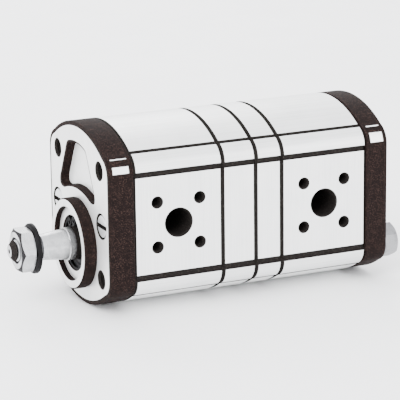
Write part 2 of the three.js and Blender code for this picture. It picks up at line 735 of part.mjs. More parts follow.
/** Bearing blocks, bushes, strips and the driven gear of the stage whose body starts at x. */
function stageGroup(name, x) {
  const group = new THREE.Group();
  for (const [end, outward] of [['a', -1], ['b', 1]]) {
    group.add(
      piece(`${name}_bearing_block_${end}`, bearingBlock(x, outward), BLOCK_ALLOY),
      piece(`${name}_pressure_seal_${end}`, blockStrip(PRESSURE_SEAL, x, outward), RUBBER),
      piece(`${name}_backup_strip_${end}`, blockStrip(BACKUP_STRIP, x, outward), PLASTIC),
    );
    [['drive', 0], ['driven', AXIS_SPACING]].forEach(([axis, z]) => {
      const sleeve = piece(`${name}_${axis}_bush_${end}`, bush(x, outward), BRONZE);
      sleeve.position.z = z;
      group.add(sleeve);
    });
  }
  const driven = piece(`${name}_driven_gear`, drivenShaft(x), STEEL);
  driven.position.z = AXIS_SPACING;
  group.add(driven);
  return group;
}

/** Everything that turns with the drive shaft. */
function driveLineGroup() {
  const group = new THREE.Group();
  group.add(
    piece('front_drive_shaft', frontDriveShaft(), STEEL),
    piece('woodruff_key', woodruffKey(), STEEL),
    piece('shaft_washer', shaftWasher(), BLACK_STEEL),
    piece('shaft_nut', shaftNut(), STEEL),
    piece('coupling', coupling(), BLACK_STEEL),
    piece('rear_drive_shaft', rearDriveShaft(), STEEL),
  );
  return group;
}

const pump = new THREE.Group();
pump.add(
  housingGroup(),
  stageGroup('front', FRONT_BODY_X),
  stageGroup('rear', REAR_BODY_X),
  driveLineGroup(),
);

export default pump;
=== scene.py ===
"""A tandem external gear pump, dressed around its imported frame.

Sizes in the classes are millimetres in the row frame: +X from the mounting face to the rear cover,
+Z from the drive axis to the driven axis, -Y the pressure side. Finished pieces are in metres.
"""

import json
import logging
import math
from dataclasses import dataclass, field
from enum import Enum
from typing import Callable, Iterable, Protocol, Sequence

import bpy
from mathutils import Matrix, Vector


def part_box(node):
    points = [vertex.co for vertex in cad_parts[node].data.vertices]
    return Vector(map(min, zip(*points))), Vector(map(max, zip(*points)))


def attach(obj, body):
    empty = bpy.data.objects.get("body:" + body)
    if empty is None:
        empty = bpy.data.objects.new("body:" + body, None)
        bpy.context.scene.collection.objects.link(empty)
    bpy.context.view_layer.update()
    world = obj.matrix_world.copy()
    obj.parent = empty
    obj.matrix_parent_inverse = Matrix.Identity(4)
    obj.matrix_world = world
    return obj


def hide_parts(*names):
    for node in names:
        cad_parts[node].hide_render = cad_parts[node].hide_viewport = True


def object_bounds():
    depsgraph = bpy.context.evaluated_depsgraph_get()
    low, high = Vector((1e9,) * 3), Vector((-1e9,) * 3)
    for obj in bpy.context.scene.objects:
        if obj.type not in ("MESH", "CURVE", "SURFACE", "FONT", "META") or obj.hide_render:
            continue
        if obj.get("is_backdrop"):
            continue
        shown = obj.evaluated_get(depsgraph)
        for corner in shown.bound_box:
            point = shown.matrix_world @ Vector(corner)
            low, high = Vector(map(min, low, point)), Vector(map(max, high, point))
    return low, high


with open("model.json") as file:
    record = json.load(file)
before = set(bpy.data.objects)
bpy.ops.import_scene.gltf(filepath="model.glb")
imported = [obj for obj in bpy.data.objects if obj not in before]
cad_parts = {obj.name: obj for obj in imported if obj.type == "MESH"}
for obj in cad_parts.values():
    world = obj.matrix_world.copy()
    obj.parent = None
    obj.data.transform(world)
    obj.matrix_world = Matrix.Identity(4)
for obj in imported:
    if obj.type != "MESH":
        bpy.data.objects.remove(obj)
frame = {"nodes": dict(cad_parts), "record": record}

LOG = logging.getLogger("pump")
MM = 0.001
AXIS_SPACING = 33.0
MIDDLE_Z = AXIS_SPACING / 2

Point = tuple[float, float]
Colour = tuple[float, float, float]
Rule = Callable[[Vector, Vector], bool]


class Slot(Enum):
    """Material slots of the record."""

    CAST_IRON = "cast_iron"
    BODY = "body_aluminium"
    BLOCK = "block_alloy"
    STEEL = "ground_steel"
    BLACK = "black_steel"
    BRONZE = "bronze"
    RUBBER = "seal_rubber"
    STRIP = "strip_plastic"


class Axis(Enum):
    """Directions in which a turned piece or cutter can point, as turns about Z."""

    PLUS_X = 0.0
    PLUS_Y = math.pi / 2
    MINUS_Y = -math.pi / 2


class Work(Enum):
    """What is done to a piece with another one."""

    UNION = "joined"
    DIFFERENCE = "cut"
    INTERSECT = "crossed"


# ---------------------------------------------------------------- shader graphs


class Wire:
    """A socket of a material's nodes that takes part in arithmetic."""

    def __init__(self, graph: "Graph", socket: bpy.types.NodeSocket) -> None:
        """Wraps a socket of a graph."""
        self.graph = graph
        self.socket = socket

    def _math(self, operation: str, *values: "Wire | float") -> "Wire":
        """Adds a Math node over values and returns its result."""
        inputs = dict(enumerate(values))
        return self.graph.wire("ShaderNodeMath", {"operation": operation}, inputs)

    def __add__(self, other: "Wire | float") -> "Wire":
        """Sum."""
        return self._math("ADD", self, other)

    __radd__ = __add__

    def __sub__(self, other: "Wire | float") -> "Wire":
        """Difference."""
        return self._math("SUBTRACT", self, other)

    def __rsub__(self, other: float) -> "Wire":
        """A number less this."""
        return self._math("SUBTRACT", other, self)

    def __mul__(self, other: "Wire | float") -> "Wire":
        """Product."""
        return self._math("MULTIPLY", self, other)

    __rmul__ = __mul__

    def __pow__(self, other: float) -> "Wire":
        """Power."""
        return self._math("POWER", self, other)

    def __abs__(self) -> "Wire":
        """Size without sign."""
        return self._math("ABSOLUTE", self)

    def larger(self, other: "Wire | float") -> "Wire":
        """The larger of the two."""
        return self._math("MAXIMUM", self, other)

    def between(self, low: float, high: float) -> "Wire":
        """Smooth step.

        Args:
            low: value that gives 0.
            high: value that gives 1; it may be the smaller of the two.

        Returns:
            The step, from 0 to 1.
        """
        settings = {"interpolation_type": "SMOOTHSTEP"}
        if low < high:
            return self.graph.wire("ShaderNodeMapRange", settings, {0: self, 1: low, 2: high})
        return 1 - self.between(high, low)


class Graph:
    """The node tree of one material, with its Principled shader."""

    def __init__(self, name: str) -> None:
        """Makes the material and its two fixed nodes.

        Args:
            name: name of the material.
        """
        self.material = bpy.data.materials.new(name)
        self.material.use_nodes = True
        self.tree = self.material.node_tree
        self.tree.nodes.clear()
        self.shader = self.node("ShaderNodeBsdfPrincipled", {}, {})
        output = self.node("ShaderNodeOutputMaterial", {}, {})
        self.tree.links.new(self.shader.outputs[0], output.inputs[0])
        place = self.node("ShaderNodeTexCoord", {}, {})
        self.place = Wire(self, place.outputs["Object"])

    def node(self, kind: str, settings: dict, inputs: dict) -> bpy.types.Node:
        """Adds a node.

        Args:
            kind: type of the node.
            settings: its properties, which are set first.
            inputs: value or wire for each socket, by name or number.

        Returns:
            The node.
        """
        made = self.tree.nodes.new(kind)
        for key, value in settings.items():
            setattr(made, key, value)
        for key, value in inputs.items():
            if isinstance(value, Wire):
                self.tree.links.new(value.socket, made.inputs[key])
            else:
                made.inputs[key].default_value = value
        return made

    def wire(self, kind: str, settings: dict, inputs: dict, output: int = 0) -> Wire:
        """Adds a node and returns one of its outputs."""
        return Wire(self, self.node(kind, settings, inputs).outputs[output])

    def axes(self) -> tuple[Wire, Wire, Wire]:
        """Object coordinates in millimetres, from the row's origin."""
        parts = self.node("ShaderNodeSeparateXYZ", {}, {0: self.place})
        x, y, z = (Wire(self, socket) * (1 / MM) for socket in parts.outputs)
        return x, y, z

    def noise(self, grain: float, stretch: Sequence[float] = (1, 1, 1), detail: float = 3) -> Wire:
        """Noise with grains of a size in millimetres.

        Args:
            grain: size of a grain.
            stretch: how many times longer a grain is along each axis.
            detail: octaves of finer noise.

        Returns:
            The noise, about 0.5.
        """
        scale = tuple(1 / (grain * MM * length) for length in stretch)
        place = self.wire("ShaderNodeMapping", {}, {"Vector": self.place, "Scale": scale})
        return self.wire("ShaderNodeTexNoise", {}, {"Vector": place, "Scale": 1, "Detail": detail})

    def mix(self, factor: Wire, first: "Wire | Colour", second: "Wire | Colour") -> Wire:
        """Blends two colours.

        Args:
            factor: share of the second, from 0 to 1.
            first: a colour.
            second: a colour.

        Returns:
            The blend.
        """
        values = [value if isinstance(value, Wire) else (*value, 1) for value in (first, second)]
        inputs = {0: factor, 6: values[0], 7: values[1]}
        return self.wire("ShaderNodeMix", {"data_type": "RGBA"}, inputs, 2)

    def bump(self, height: Wire, distance: float) -> Wire:
        """Normal of a relief whose full height is a distance in millimetres."""
        return self.wire("ShaderNodeBump", {}, {"Distance": distance * MM, "Height": height})

    def finish(self, **sockets: "Wire | float | Colour") -> bpy.types.Material:
        """Sets the shader's sockets.

        Args:
            sockets: value or wire for each socket, by its name with _ for spaces.

        Returns:
            The material.
        """
        for name, value in sockets.items():
            socket = self.shader.inputs[name.replace("_", " ")]
            if isinstance(value, Wire):
                self.tree.links.new(value.socket, socket)
            elif isinstance(value, tuple):
                socket.default_value = (*value, 1)
            else:
                socket.default_value = value
        return self.material


# ---------------------------------------------------------------- finishes


class Finish(Protocol):
    """A finish with a name, which can make its material."""

    name: str

    def build(self) -> bpy.types.Material:
        """Makes the material."""


@dataclass(frozen=True)
class CastFinish:
    """Dark sand-cast iron under matt paint, speckled, with a painted highlight on its upper corners: a bright
    patch and a thin bright line above it, where the corner catches the light.
    """

    name: str = "cast_iron_dark"
    paint: Colour = (0.0055, 0.0032, 0.0030)
    speck: Colour = (0.046, 0.026, 0.021)
    bare: Colour = (0.92, 0.92, 0.91)
    grain: float = 0.55
    highlight_x: tuple[float, float] = (2.4, 12.0)
    highlight_z: tuple[float, float] = (30.4, 34.4)
    highlight_line_z: float = 37.7

    def build(self) -> bpy.types.Material:
        """Makes the material."""
        graph = Graph(self.name)
        x, y, z = graph.axes()
        grains = graph.noise(self.grain, detail=4)
        lumps = graph.noise(3.5)
        specks = grains.between(0.5, 0.66) * lumps.between(0.2, 0.6)
        colour = graph.mix(specks * 0.75, self.paint, self.speck)
        # Painted highlight: the covers' upper corners go near-white in a patch and a thin line, standing in
        # for a reflection of the light; roughness drops and metal rises there too.
        bare = self.highlight_mask(x, y, z + graph.noise(2.0) * 0.3)
        return graph.finish(
            Base_Color=graph.mix(bare, colour, self.bare),
            Roughness=0.78 - bare * 0.4,
            Metallic=bare * 0.4,
            Normal=graph.bump(grains * 0.6 + lumps, 0.16),
            Specular_IOR_Level=0.06,
        )

    def highlight_mask(self, x: Wire, y: Wire, z: Wire) -> Wire:
        """Mask of the painted highlight: a bright patch on the corner and a thin bright line above it."""
        (near, far), (low, high) = self.highlight_x, self.highlight_z
        up = z - MIDDLE_Z
        along = x.between(near, near + 0.5) * x.between(far, far - 0.5)
        highlight_band = up.between(low, low + 0.4) * up.between(high, high - 0.4)
        highlight_line = abs(up - self.highlight_line_z).between(0.26, 0.12)
        return along * highlight_band.larger(highlight_line) * abs(y).between(30, 31)


@dataclass(frozen=True)
class TurnedFinish:
    """Metal faced on a lathe about the drive axis, with fine rings."""

    name: str = "cover_machined"
    colour: Colour = (0.8, 0.8, 0.79)
    shade: Colour = (0.6, 0.6, 0.59)
    roughness: float = 0.34
    ring: float = 0.45

    def build(self) -> bpy.types.Material:
        """Makes the material."""
        graph = Graph(self.name)
        _, y, z = graph.axes()
        radius = (y * y + z * z) ** 0.5
        place = {"W": radius * (1 / self.ring), "Scale": 1, "Detail": 2}
        rings = graph.wire("ShaderNodeTexNoise", {"noise_dimensions": "1D"}, place)
        stain = graph.noise(9.0).between(0.45, 0.75)
        return graph.finish(
            Base_Color=graph.mix(stain * 0.35 + rings * 0.15, self.colour, self.shade),
            Roughness=self.roughness + rings * 0.12,
            Metallic=0.55,
            Normal=graph.bump(rings, 0.012),
        )


@dataclass(frozen=True)
class ExtrudedFinish:
    """Pale drawn aluminium, with fine lines along the pump."""

    name: str = "aluminium_drawn"
    colour: Colour = (0.78, 0.785, 0.78)
    shade: Colour = (0.52, 0.53, 0.53)
    line: Sequence[float] = (90, 1, 1)
    line_grain: float = 0.9
    roughness: float = 0.36
    metallic: float = 0.5

    def build(self) -> bpy.types.Material:
        """Makes the material."""
        graph = Graph(self.name)
        lines = graph.noise(self.line_grain, self.line, detail=4)
        cloud = graph.noise(14.0)
        pores = graph.noise(0.35).between(0.68, 0.78)
        tone = lines.between(0.4, 0.7) * 0.32 + cloud.between(0.4, 0.8) * 0.2 + pores * 0.3
        return graph.finish(
            Base_Color=graph.mix(tone, self.colour, self.shade),
            Roughness=self.roughness + lines * 0.14,
            Metallic=self.metallic,
            Normal=graph.bump(lines - pores * 0.6, 0.02),
        )


@dataclass(frozen=True)
class PaintedShadeFinish:
    """Painted shade: near-black colour with a faint lighter grain, put in the seams and grooves of the
    housing and in other hollows where shade falls.
    """

    name: str = "seam_dark"
    colour: Colour = (0.009, 0.0075, 0.007)
    shade_grain: Colour = (0.045, 0.038, 0.033)

    def build(self) -> bpy.types.Material:
        """Makes the material."""
        graph = Graph(self.name)
        grains = graph.noise(0.5)
        return graph.finish(
            Base_Color=graph.mix(grains.between(0.5, 0.8), self.colour, self.shade_grain),
            Roughness=0.7 + grains * 0.2,
            Normal=graph.bump(grains, 0.05),
            Specular_IOR_Level=0.06,
        )


@dataclass(frozen=True)
class SteelFinish:
    """Steel or bronze, turned or finished on a grinder, bright or blackened."""

    name: str
    colour: Colour
    shade: Colour
    roughness: float = 0.22
    metallic: float = 1.0
    stretch: Sequence[float] = (1, 40, 40)
    grain: float = 0.12
    relief: float = 0.012
    specular: float = 0.5

    def build(self) -> bpy.types.Material:
        """Makes the material."""
        graph = Graph(self.name)
        marks = graph.noise(self.grain, self.stretch)
        film = graph.noise(4.0).between(0.42, 0.72)
        return graph.finish(
            Base_Color=graph.mix(marks.between(0.4, 0.8) * 0.3 + film * 0.4, self.colour, self.shade),
            Roughness=self.roughness + marks * 0.12 + film * 0.06,
            Metallic=self.metallic,
            Normal=graph.bump(marks, self.relief),
            Specular_IOR_Level=self.specular,
        )


@dataclass(frozen=True)
class MouldedFinish:
    """Rubber or plastic, matt, with a faint grain."""

    name: str
    colour: Colour
    shade: Colour
    roughness: float = 0.6

    def build(self) -> bpy.types.Material:
        """Makes the material."""
        graph = Graph(self.name)
        grains = graph.noise(0.4)
        return graph.finish(
            Base_Color=graph.mix(graph.noise(5.0).between(0.4, 0.7), self.colour, self.shade),
            Roughness=self.roughness + grains * 0.2,
            Normal=graph.bump(grains, 0.03),
        )


CAST = CastFinish()
COVER_FACE = TurnedFinish()
DRAWN = ExtrudedFinish()
MILLED = ExtrudedFinish(
    name="aluminium_milled",
    colour=(0.83, 0.835, 0.83),
    shade=(0.62, 0.63, 0.63),
    line=(1, 1, 90),
    line_grain=0.35,
    roughness=0.33,
    metallic=0.45,
)
PAINTED_SHADE = PaintedShadeFinish()
STEEL = SteelFinish("steel_ground", (0.5, 0.505, 0.51), (0.24, 0.24, 0.25))
BOLT_STEEL = SteelFinish(
    name="steel_bolt",
    colour=(0.27, 0.272, 0.28),
    shade=(0.15, 0.15, 0.156),
    roughness=0.3,
    stretch=(1, 1, 1),
    grain=0.6,
)
# Near-black steel that paints shade onto the chamfers of the nut and the bolt heads.
CHAMFER_SHADE_STEEL = SteelFinish(
    name="steel_scaled",
    colour=(0.014, 0.013, 0.014),
    shade=(0.006, 0.006, 0.007),
    roughness=0.5,
    metallic=0.2,
    stretch=(1, 1, 1),
    grain=0.5,
    specular=0.12,
)
BLACK_STEEL = SteelFinish(
    name="steel_black",
    colour=(0.006, 0.0055, 0.006),
    shade=(0.003, 0.003, 0.003),
    roughness=0.5,
    metallic=0.2,
    specular=0.08,
)
ZINC = SteelFinish(
    name="steel_zinc",
    colour=(0.7, 0.705, 0.71),
    shade=(0.5, 0.505, 0.51),
    roughness=0.36,
    metallic=0.75,
    stretch=(1, 1, 1),
    grain=0.8,
)
BLOCK_ALLOY = SteelFinish(
    name="block_alloy",
    colour=(0.72, 0.71, 0.68),
    shade=(0.5, 0.49, 0.47),
    roughness=0.32,
    metallic=0.9,
    stretch=(1, 1, 30),
    grain=0.2,
)
BRONZE = SteelFinish("bronze_bush", (0.62, 0.43, 0.22), (0.4, 0.27, 0.14), 0.3)
RUBBER = MouldedFinish("seal_rubber", (0.016, 0.015, 0.016), (0.035, 0.033, 0.034))
PLASTIC = MouldedFinish("strip_plastic", (0.82, 0.78, 0.68), (0.7, 0.66, 0.55), 0.45)


class Paints:
    """The materials made so far, one for each finish."""

    def __init__(self) -> None:
        """Starts with no materials."""
        self._made: dict[str, bpy.types.Material] = {}

    def get(self, finish: Finish) -> bpy.types.Material:
        """The material of a finish, made the first time it is asked for."""
        if finish.name not in self._made:
            self._made[finish.name] = finish.build()
        return self._made[finish.name]


PAINTS = Paints()


# ---------------------------------------------------------------- bench work


def deselect_all() -> None:
    """Leaves nothing selected and no active object."""
    bpy.ops.object.select_all(action="DESELECT")
    bpy.context.view_layer.objects.active = None


def activate(piece: bpy.types.Object) -> None:
    """Makes one object the only selected one and the active one."""
    deselect_all()
    piece.select_set(True)
    bpy.context.view_layer.objects.active = piece


def apply_place(piece: bpy.types.Object) -> None:
    """Moves an object's place, turn and scale into its mesh."""
    activate(piece)
    bpy.ops.object.transform_apply(location=True, rotation=True, scale=True)


def tidy_mesh(piece: bpy.types.Object) -> None:
    """Merges doubles and points all faces outwards."""
    activate(piece)
    bpy.ops.object.mode_set(mode="EDIT")
    bpy.ops.mesh.select_all(action="SELECT")
    bpy.ops.mesh.remove_doubles(threshold=1e-4)
    bpy.ops.mesh.normals_make_consistent(inside=False)
    bpy.ops.object.mode_set(mode="OBJECT")


def point_along(piece: bpy.types.Object, axis: Axis, place: Sequence[float]) -> bpy.types.Object:
    """Turns a piece made along +X to an axis and moves it to its place.

    Args:
        piece: the piece, with its start at the origin.
        axis: where it is to point.
        place: where its start is to be.

    Returns:
        The piece.
    """
    piece.rotation_euler = (0, 0, axis.value)
    piece.location = place
    apply_place(piece)
    return piece


class Pen:
    """Draws an outline in the plane across the pump, edge by edge."""

    def __init__(self, name: str, start: Point, x: float = 0.0) -> None:
        """Puts down the first point.

        Args:
            name: name of the object that is drawn.
            start: first point, as (y, z).
            x: where the plane is.
        """
        deselect_all()
        bpy.ops.mesh.primitive_plane_add(size=1, location=(0, 0, 0))
        self.piece = bpy.context.active_object
        self.piece.name = name
        bpy.ops.object.mode_set(mode="EDIT")
        bpy.ops.mesh.select_all(action="SELECT")
        bpy.ops.mesh.merge(type="CENTER")
        bpy.ops.transform.translate(value=(x, *start))
        self.x = x
        self.at = start

    def line(self, to: Point) -> "Pen":
        """Draws a straight edge.

        Args:
            to: where it ends, as (y, z).

        Returns:
            The pen.
        """
        step = (0, to[0] - self.at[0], to[1] - self.at[1])
        bpy.ops.mesh.extrude_region_move(TRANSFORM_OT_translate={"value": step})
        self.at = to
        return self

    def arc(self, centre: Point, angle: float, steps: int) -> "Pen":
        """Draws an arc.

        Args:
            centre: its centre, as (y, z).
            angle: its sweep, positive from +Y towards +Z.
            steps: number of its edges.

        Returns:
            The pen.
        """
        bpy.ops.mesh.spin(steps=steps, angle=-angle, center=(self.x, *centre), axis=(1, 0, 0))
        y, z = self.at[0] - centre[0], self.at[1] - centre[1]
        cos, sin = math.cos(angle), math.sin(angle)
        self.at = (centre[0] + y * cos - z * sin, centre[1] + y * sin + z * cos)
        return self

    def fill(self) -> bpy.types.Object:
        """Closes the outline, fills it and leaves edit mode."""
        bpy.ops.mesh.select_all(action="SELECT")
        bpy.ops.mesh.remove_doubles(threshold=1e-3)
        bpy.ops.mesh.select_all(action="SELECT")
        bpy.ops.mesh.edge_face_add()
        bpy.ops.object.mode_set(mode="OBJECT")
        return self.piece


def pull(piece: bpy.types.Object, stations: Sequence[Point], centre: Point, reach: float) -> None:
    """Pulls a filled outline along +X through stations that may each be inset.

    Args:
        piece: the outline, a single face at the first station's x.
        stations: (x, inset) pairs in order; the inset is measured at the outline's reach.
        centre: (y, z) that the outline shrinks towards.
        reach: distance from the centre to the outline.
    """
    activate(piece)
    bpy.ops.object.mode_set(mode="EDIT")
    bpy.ops.mesh.select_all(action="SELECT")
    middle = (0, *centre)
    (x, inset), *rest = stations
    ratio = 1 - inset / reach
    bpy.ops.transform.resize(value=(1, ratio, ratio), center_override=middle)
    for next_x, next_inset in rest:
        bpy.ops.mesh.extrude_region_move(TRANSFORM_OT_translate={"value": (next_x - x, 0, 0)})
        step = (1 - next_inset / reach) / ratio
        bpy.ops.transform.resize(value=(1, step, step), center_override=middle)
        x, ratio = next_x, ratio * step
    bpy.ops.object.mode_set(mode="OBJECT")
    tidy_mesh(piece)


def turned(name: str, profile: Sequence[Point], steps: int = 64) -> bpy.types.Object:
    """Turns a piece about X.

    Args:
        name: name of the piece.
        profile: (x, radius) points, from axis to axis or round to the first point.
        steps: number of faces round the axis.

    Returns:
        The piece.
    """
    deselect_all()
    bpy.ops.mesh.primitive_plane_add(size=1, location=(0, 0, 0))
    piece = bpy.context.active_object
    piece.name = name
    bpy.ops.object.mode_set(mode="EDIT")
    bpy.ops.mesh.select_all(action="SELECT")
    bpy.ops.mesh.merge(type="CENTER")
    at = profile[0]
    bpy.ops.transform.translate(value=(at[0], at[1], 0))
    for x, radius in profile[1:]:
        step = (x - at[0], radius - at[1], 0)
        bpy.ops.mesh.extrude_region_move(TRANSFORM_OT_translate={"value": step})
        at = (x, radius)
    bpy.ops.mesh.select_all(action="SELECT")
    bpy.ops.mesh.spin(steps=steps, angle=2 * math.pi, center=(0, 0, 0), axis=(1, 0, 0))
    bpy.ops.object.mode_set(mode="OBJECT")
    tidy_mesh(piece)
    return piece


def box(name: str, low: Sequence[float], high: Sequence[float]) -> bpy.types.Object:
    """Makes a box.

    Args:
        name: name of the box.
        low: its lowest corner.
        high: its highest corner.

    Returns:
        The box.
    """
    deselect_all()
    middle = [(a + b) / 2 for a, b in zip(low, high)]
    bpy.ops.mesh.primitive_cube_add(size=1, location=middle)
    piece = bpy.context.active_object
    piece.name = name
    piece.scale = [b - a for a, b in zip(low, high)]
    apply_place(piece)
    return piece


def hexagon(name: str, flats: float, start: float, end: float, turn: float = 0.0) -> bpy.types.Object:
    """Makes a hexagonal bar along X, with two of its corners along Y.

    Args:
        name: name of the bar.
        flats: distance across its flats.
        start: x of one end.
        end: x of the other end.
        turn: angle by which it is then turned about X.

    Returns:
        The bar.
    """
    deselect_all()
    middle = ((start + end) / 2, 0, 0)
    radius = flats / math.sqrt(3)
    bpy.ops.mesh.primitive_cylinder_add(vertices=6, radius=radius, depth=end - start, location=middle)
    piece = bpy.context.active_object
    piece.name = name
    upright = Matrix.Rotation(math.pi / 2, 3, "Y")
    piece.rotation_euler = (Matrix.Rotation(turn, 3, "X") @ upright).to_euler()
    apply_place(piece)
    return piece


def combine(piece: bpy.types.Object, other: bpy.types.Object, operation: Work) -> bpy.types.Object:
    """Works a piece with another, which is used up.

    Args:
        piece: the piece that stays.
        other: what is joined to it, taken out of it or crossed with it.
        operation: which of the three is done.

    Returns:
        The piece.
    """
    activate(piece)
    boolean = piece.modifiers.new("work", "BOOLEAN")
    boolean.operation = operation.name
    boolean.object = other
    boolean.solver = "EXACT"
    bpy.ops.object.modifier_apply(modifier=boolean.name)
    bpy.data.objects.remove(other, do_unlink=True)
    return piece


def cut(piece: bpy.types.Object, cutters: Iterable[bpy.types.Object]) -> bpy.types.Object:
    """Takes cutters out of a piece, all at once.

    Args:
        piece: the piece.
        cutters: what is taken out; they don't touch each other, and are used up.

    Returns:
        The piece.
    """
    cutters = list(cutters)
    deselect_all()
    for cutter in cutters:
        cutter.select_set(True)
    bpy.context.view_layer.objects.active = cutters[0]
    if len(cutters) > 1:
        bpy.ops.object.join()
    return combine(piece, cutters[0], Work.DIFFERENCE)


def thread(start: float, end: float, root: float, crest: float, pitch: float) -> list[Point]:
    """Lays out the ridges of a thread for a turned profile.

    Args:
        start: x of the first point.
        end: x of the last point.
        root: radius between the ridges.
        crest: radius of the ridges.
        pitch: distance from ridge to ridge.

    Returns:
        The (x, radius) points.
    """
    turns = int(abs(end - start) / pitch)
    step = (end - start) / turns
    points = []
    for i in range(turns):
        points += [(start + step * i, root), (start + step * (i + 0.5), crest)]
    return points + [(end, root)]


def dress(piece: bpy.types.Object, finish: Finish, *rules: tuple[Finish, Rule]) -> None:
    """Gives a piece its materials.

    Args:
        piece: the piece, in millimetres.
        finish: the finish of all faces that no rule names.
        rules: (finish, test) pairs; the first test that a face's middle and normal pass wins.
    """
    piece.data.materials.clear()
    for used in (finish, *(rule[0] for rule in rules)):
        piece.data.materials.append(PAINTS.get(used))
    for polygon in piece.data.polygons:
        passed = (i for i, (_, test) in enumerate(rules, 1) if test(polygon.center, polygon.normal))
        polygon.material_index = next(passed, 0)


def deliver(
    piece: bpy.types.Object, body: str, slot: Slot, *nodes: str, angle: float = 32, weld: bool = True
) -> None:
    """Smooths a piece, brings it to metres, and hands it to the frame.

    Args:
        piece: the finished piece, in millimetres.
        body: the frame's body that it rides on.
        slot: the record's slot of the piece; not used.
        nodes: the CAD nodes that it stands for.
        angle: edges sharper than this many degrees stay sharp.
        weld: whether doubles left by cutting are merged; not where a face reaches round a hole to itself.
    """
    if weld:
        tidy_mesh(piece)
    activate(piece)
    bpy.ops.object.shade_smooth_by_angle(angle=math.radians(angle))
    piece.scale = (MM, MM, MM)
    apply_place(piece)
    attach(piece, body)
    if nodes:
        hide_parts(*nodes)
    LOG.info("%s: %d faces", piece.name, len(piece.data.polygons))


def plain_bore(
    name: str, radius: float, start: float, end: float, spot: Point, steps: int = 96
) -> bpy.types.Object:
    """Makes a plain round cutter along X.

    Args:
        name: name of the cutter.
        radius: its radius.
        start: x of its near end.
        end: x of its far end.
        spot: its axis, as (y, z).
        steps: number of faces round it.

    Returns:
        The cutter.
    """
    length = end - start
    bore = turned(name, [(0, 0), (0, radius), (length, radius), (length, 0)], steps)
    return point_along(bore, Axis.PLUS_X, (start, *spot))


def span(node: str) -> tuple[float, float]:
    """Finds the lowest and highest x of a CAD node, in millimetres."""
    low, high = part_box(node)
    return round(low[0] / MM, 3), round(high[0] / MM, 3)


def corners(offset: float) -> list[Point]:
    """The four (y, z) corners of a square pattern about the housing's centre line."""
    return [(y * offset, MIDDLE_Z + z * offset) for y, z in ((-1, 1), (1, 1), (1, -1), (-1, -1))]


# ---------------------------------------------------------------- housing


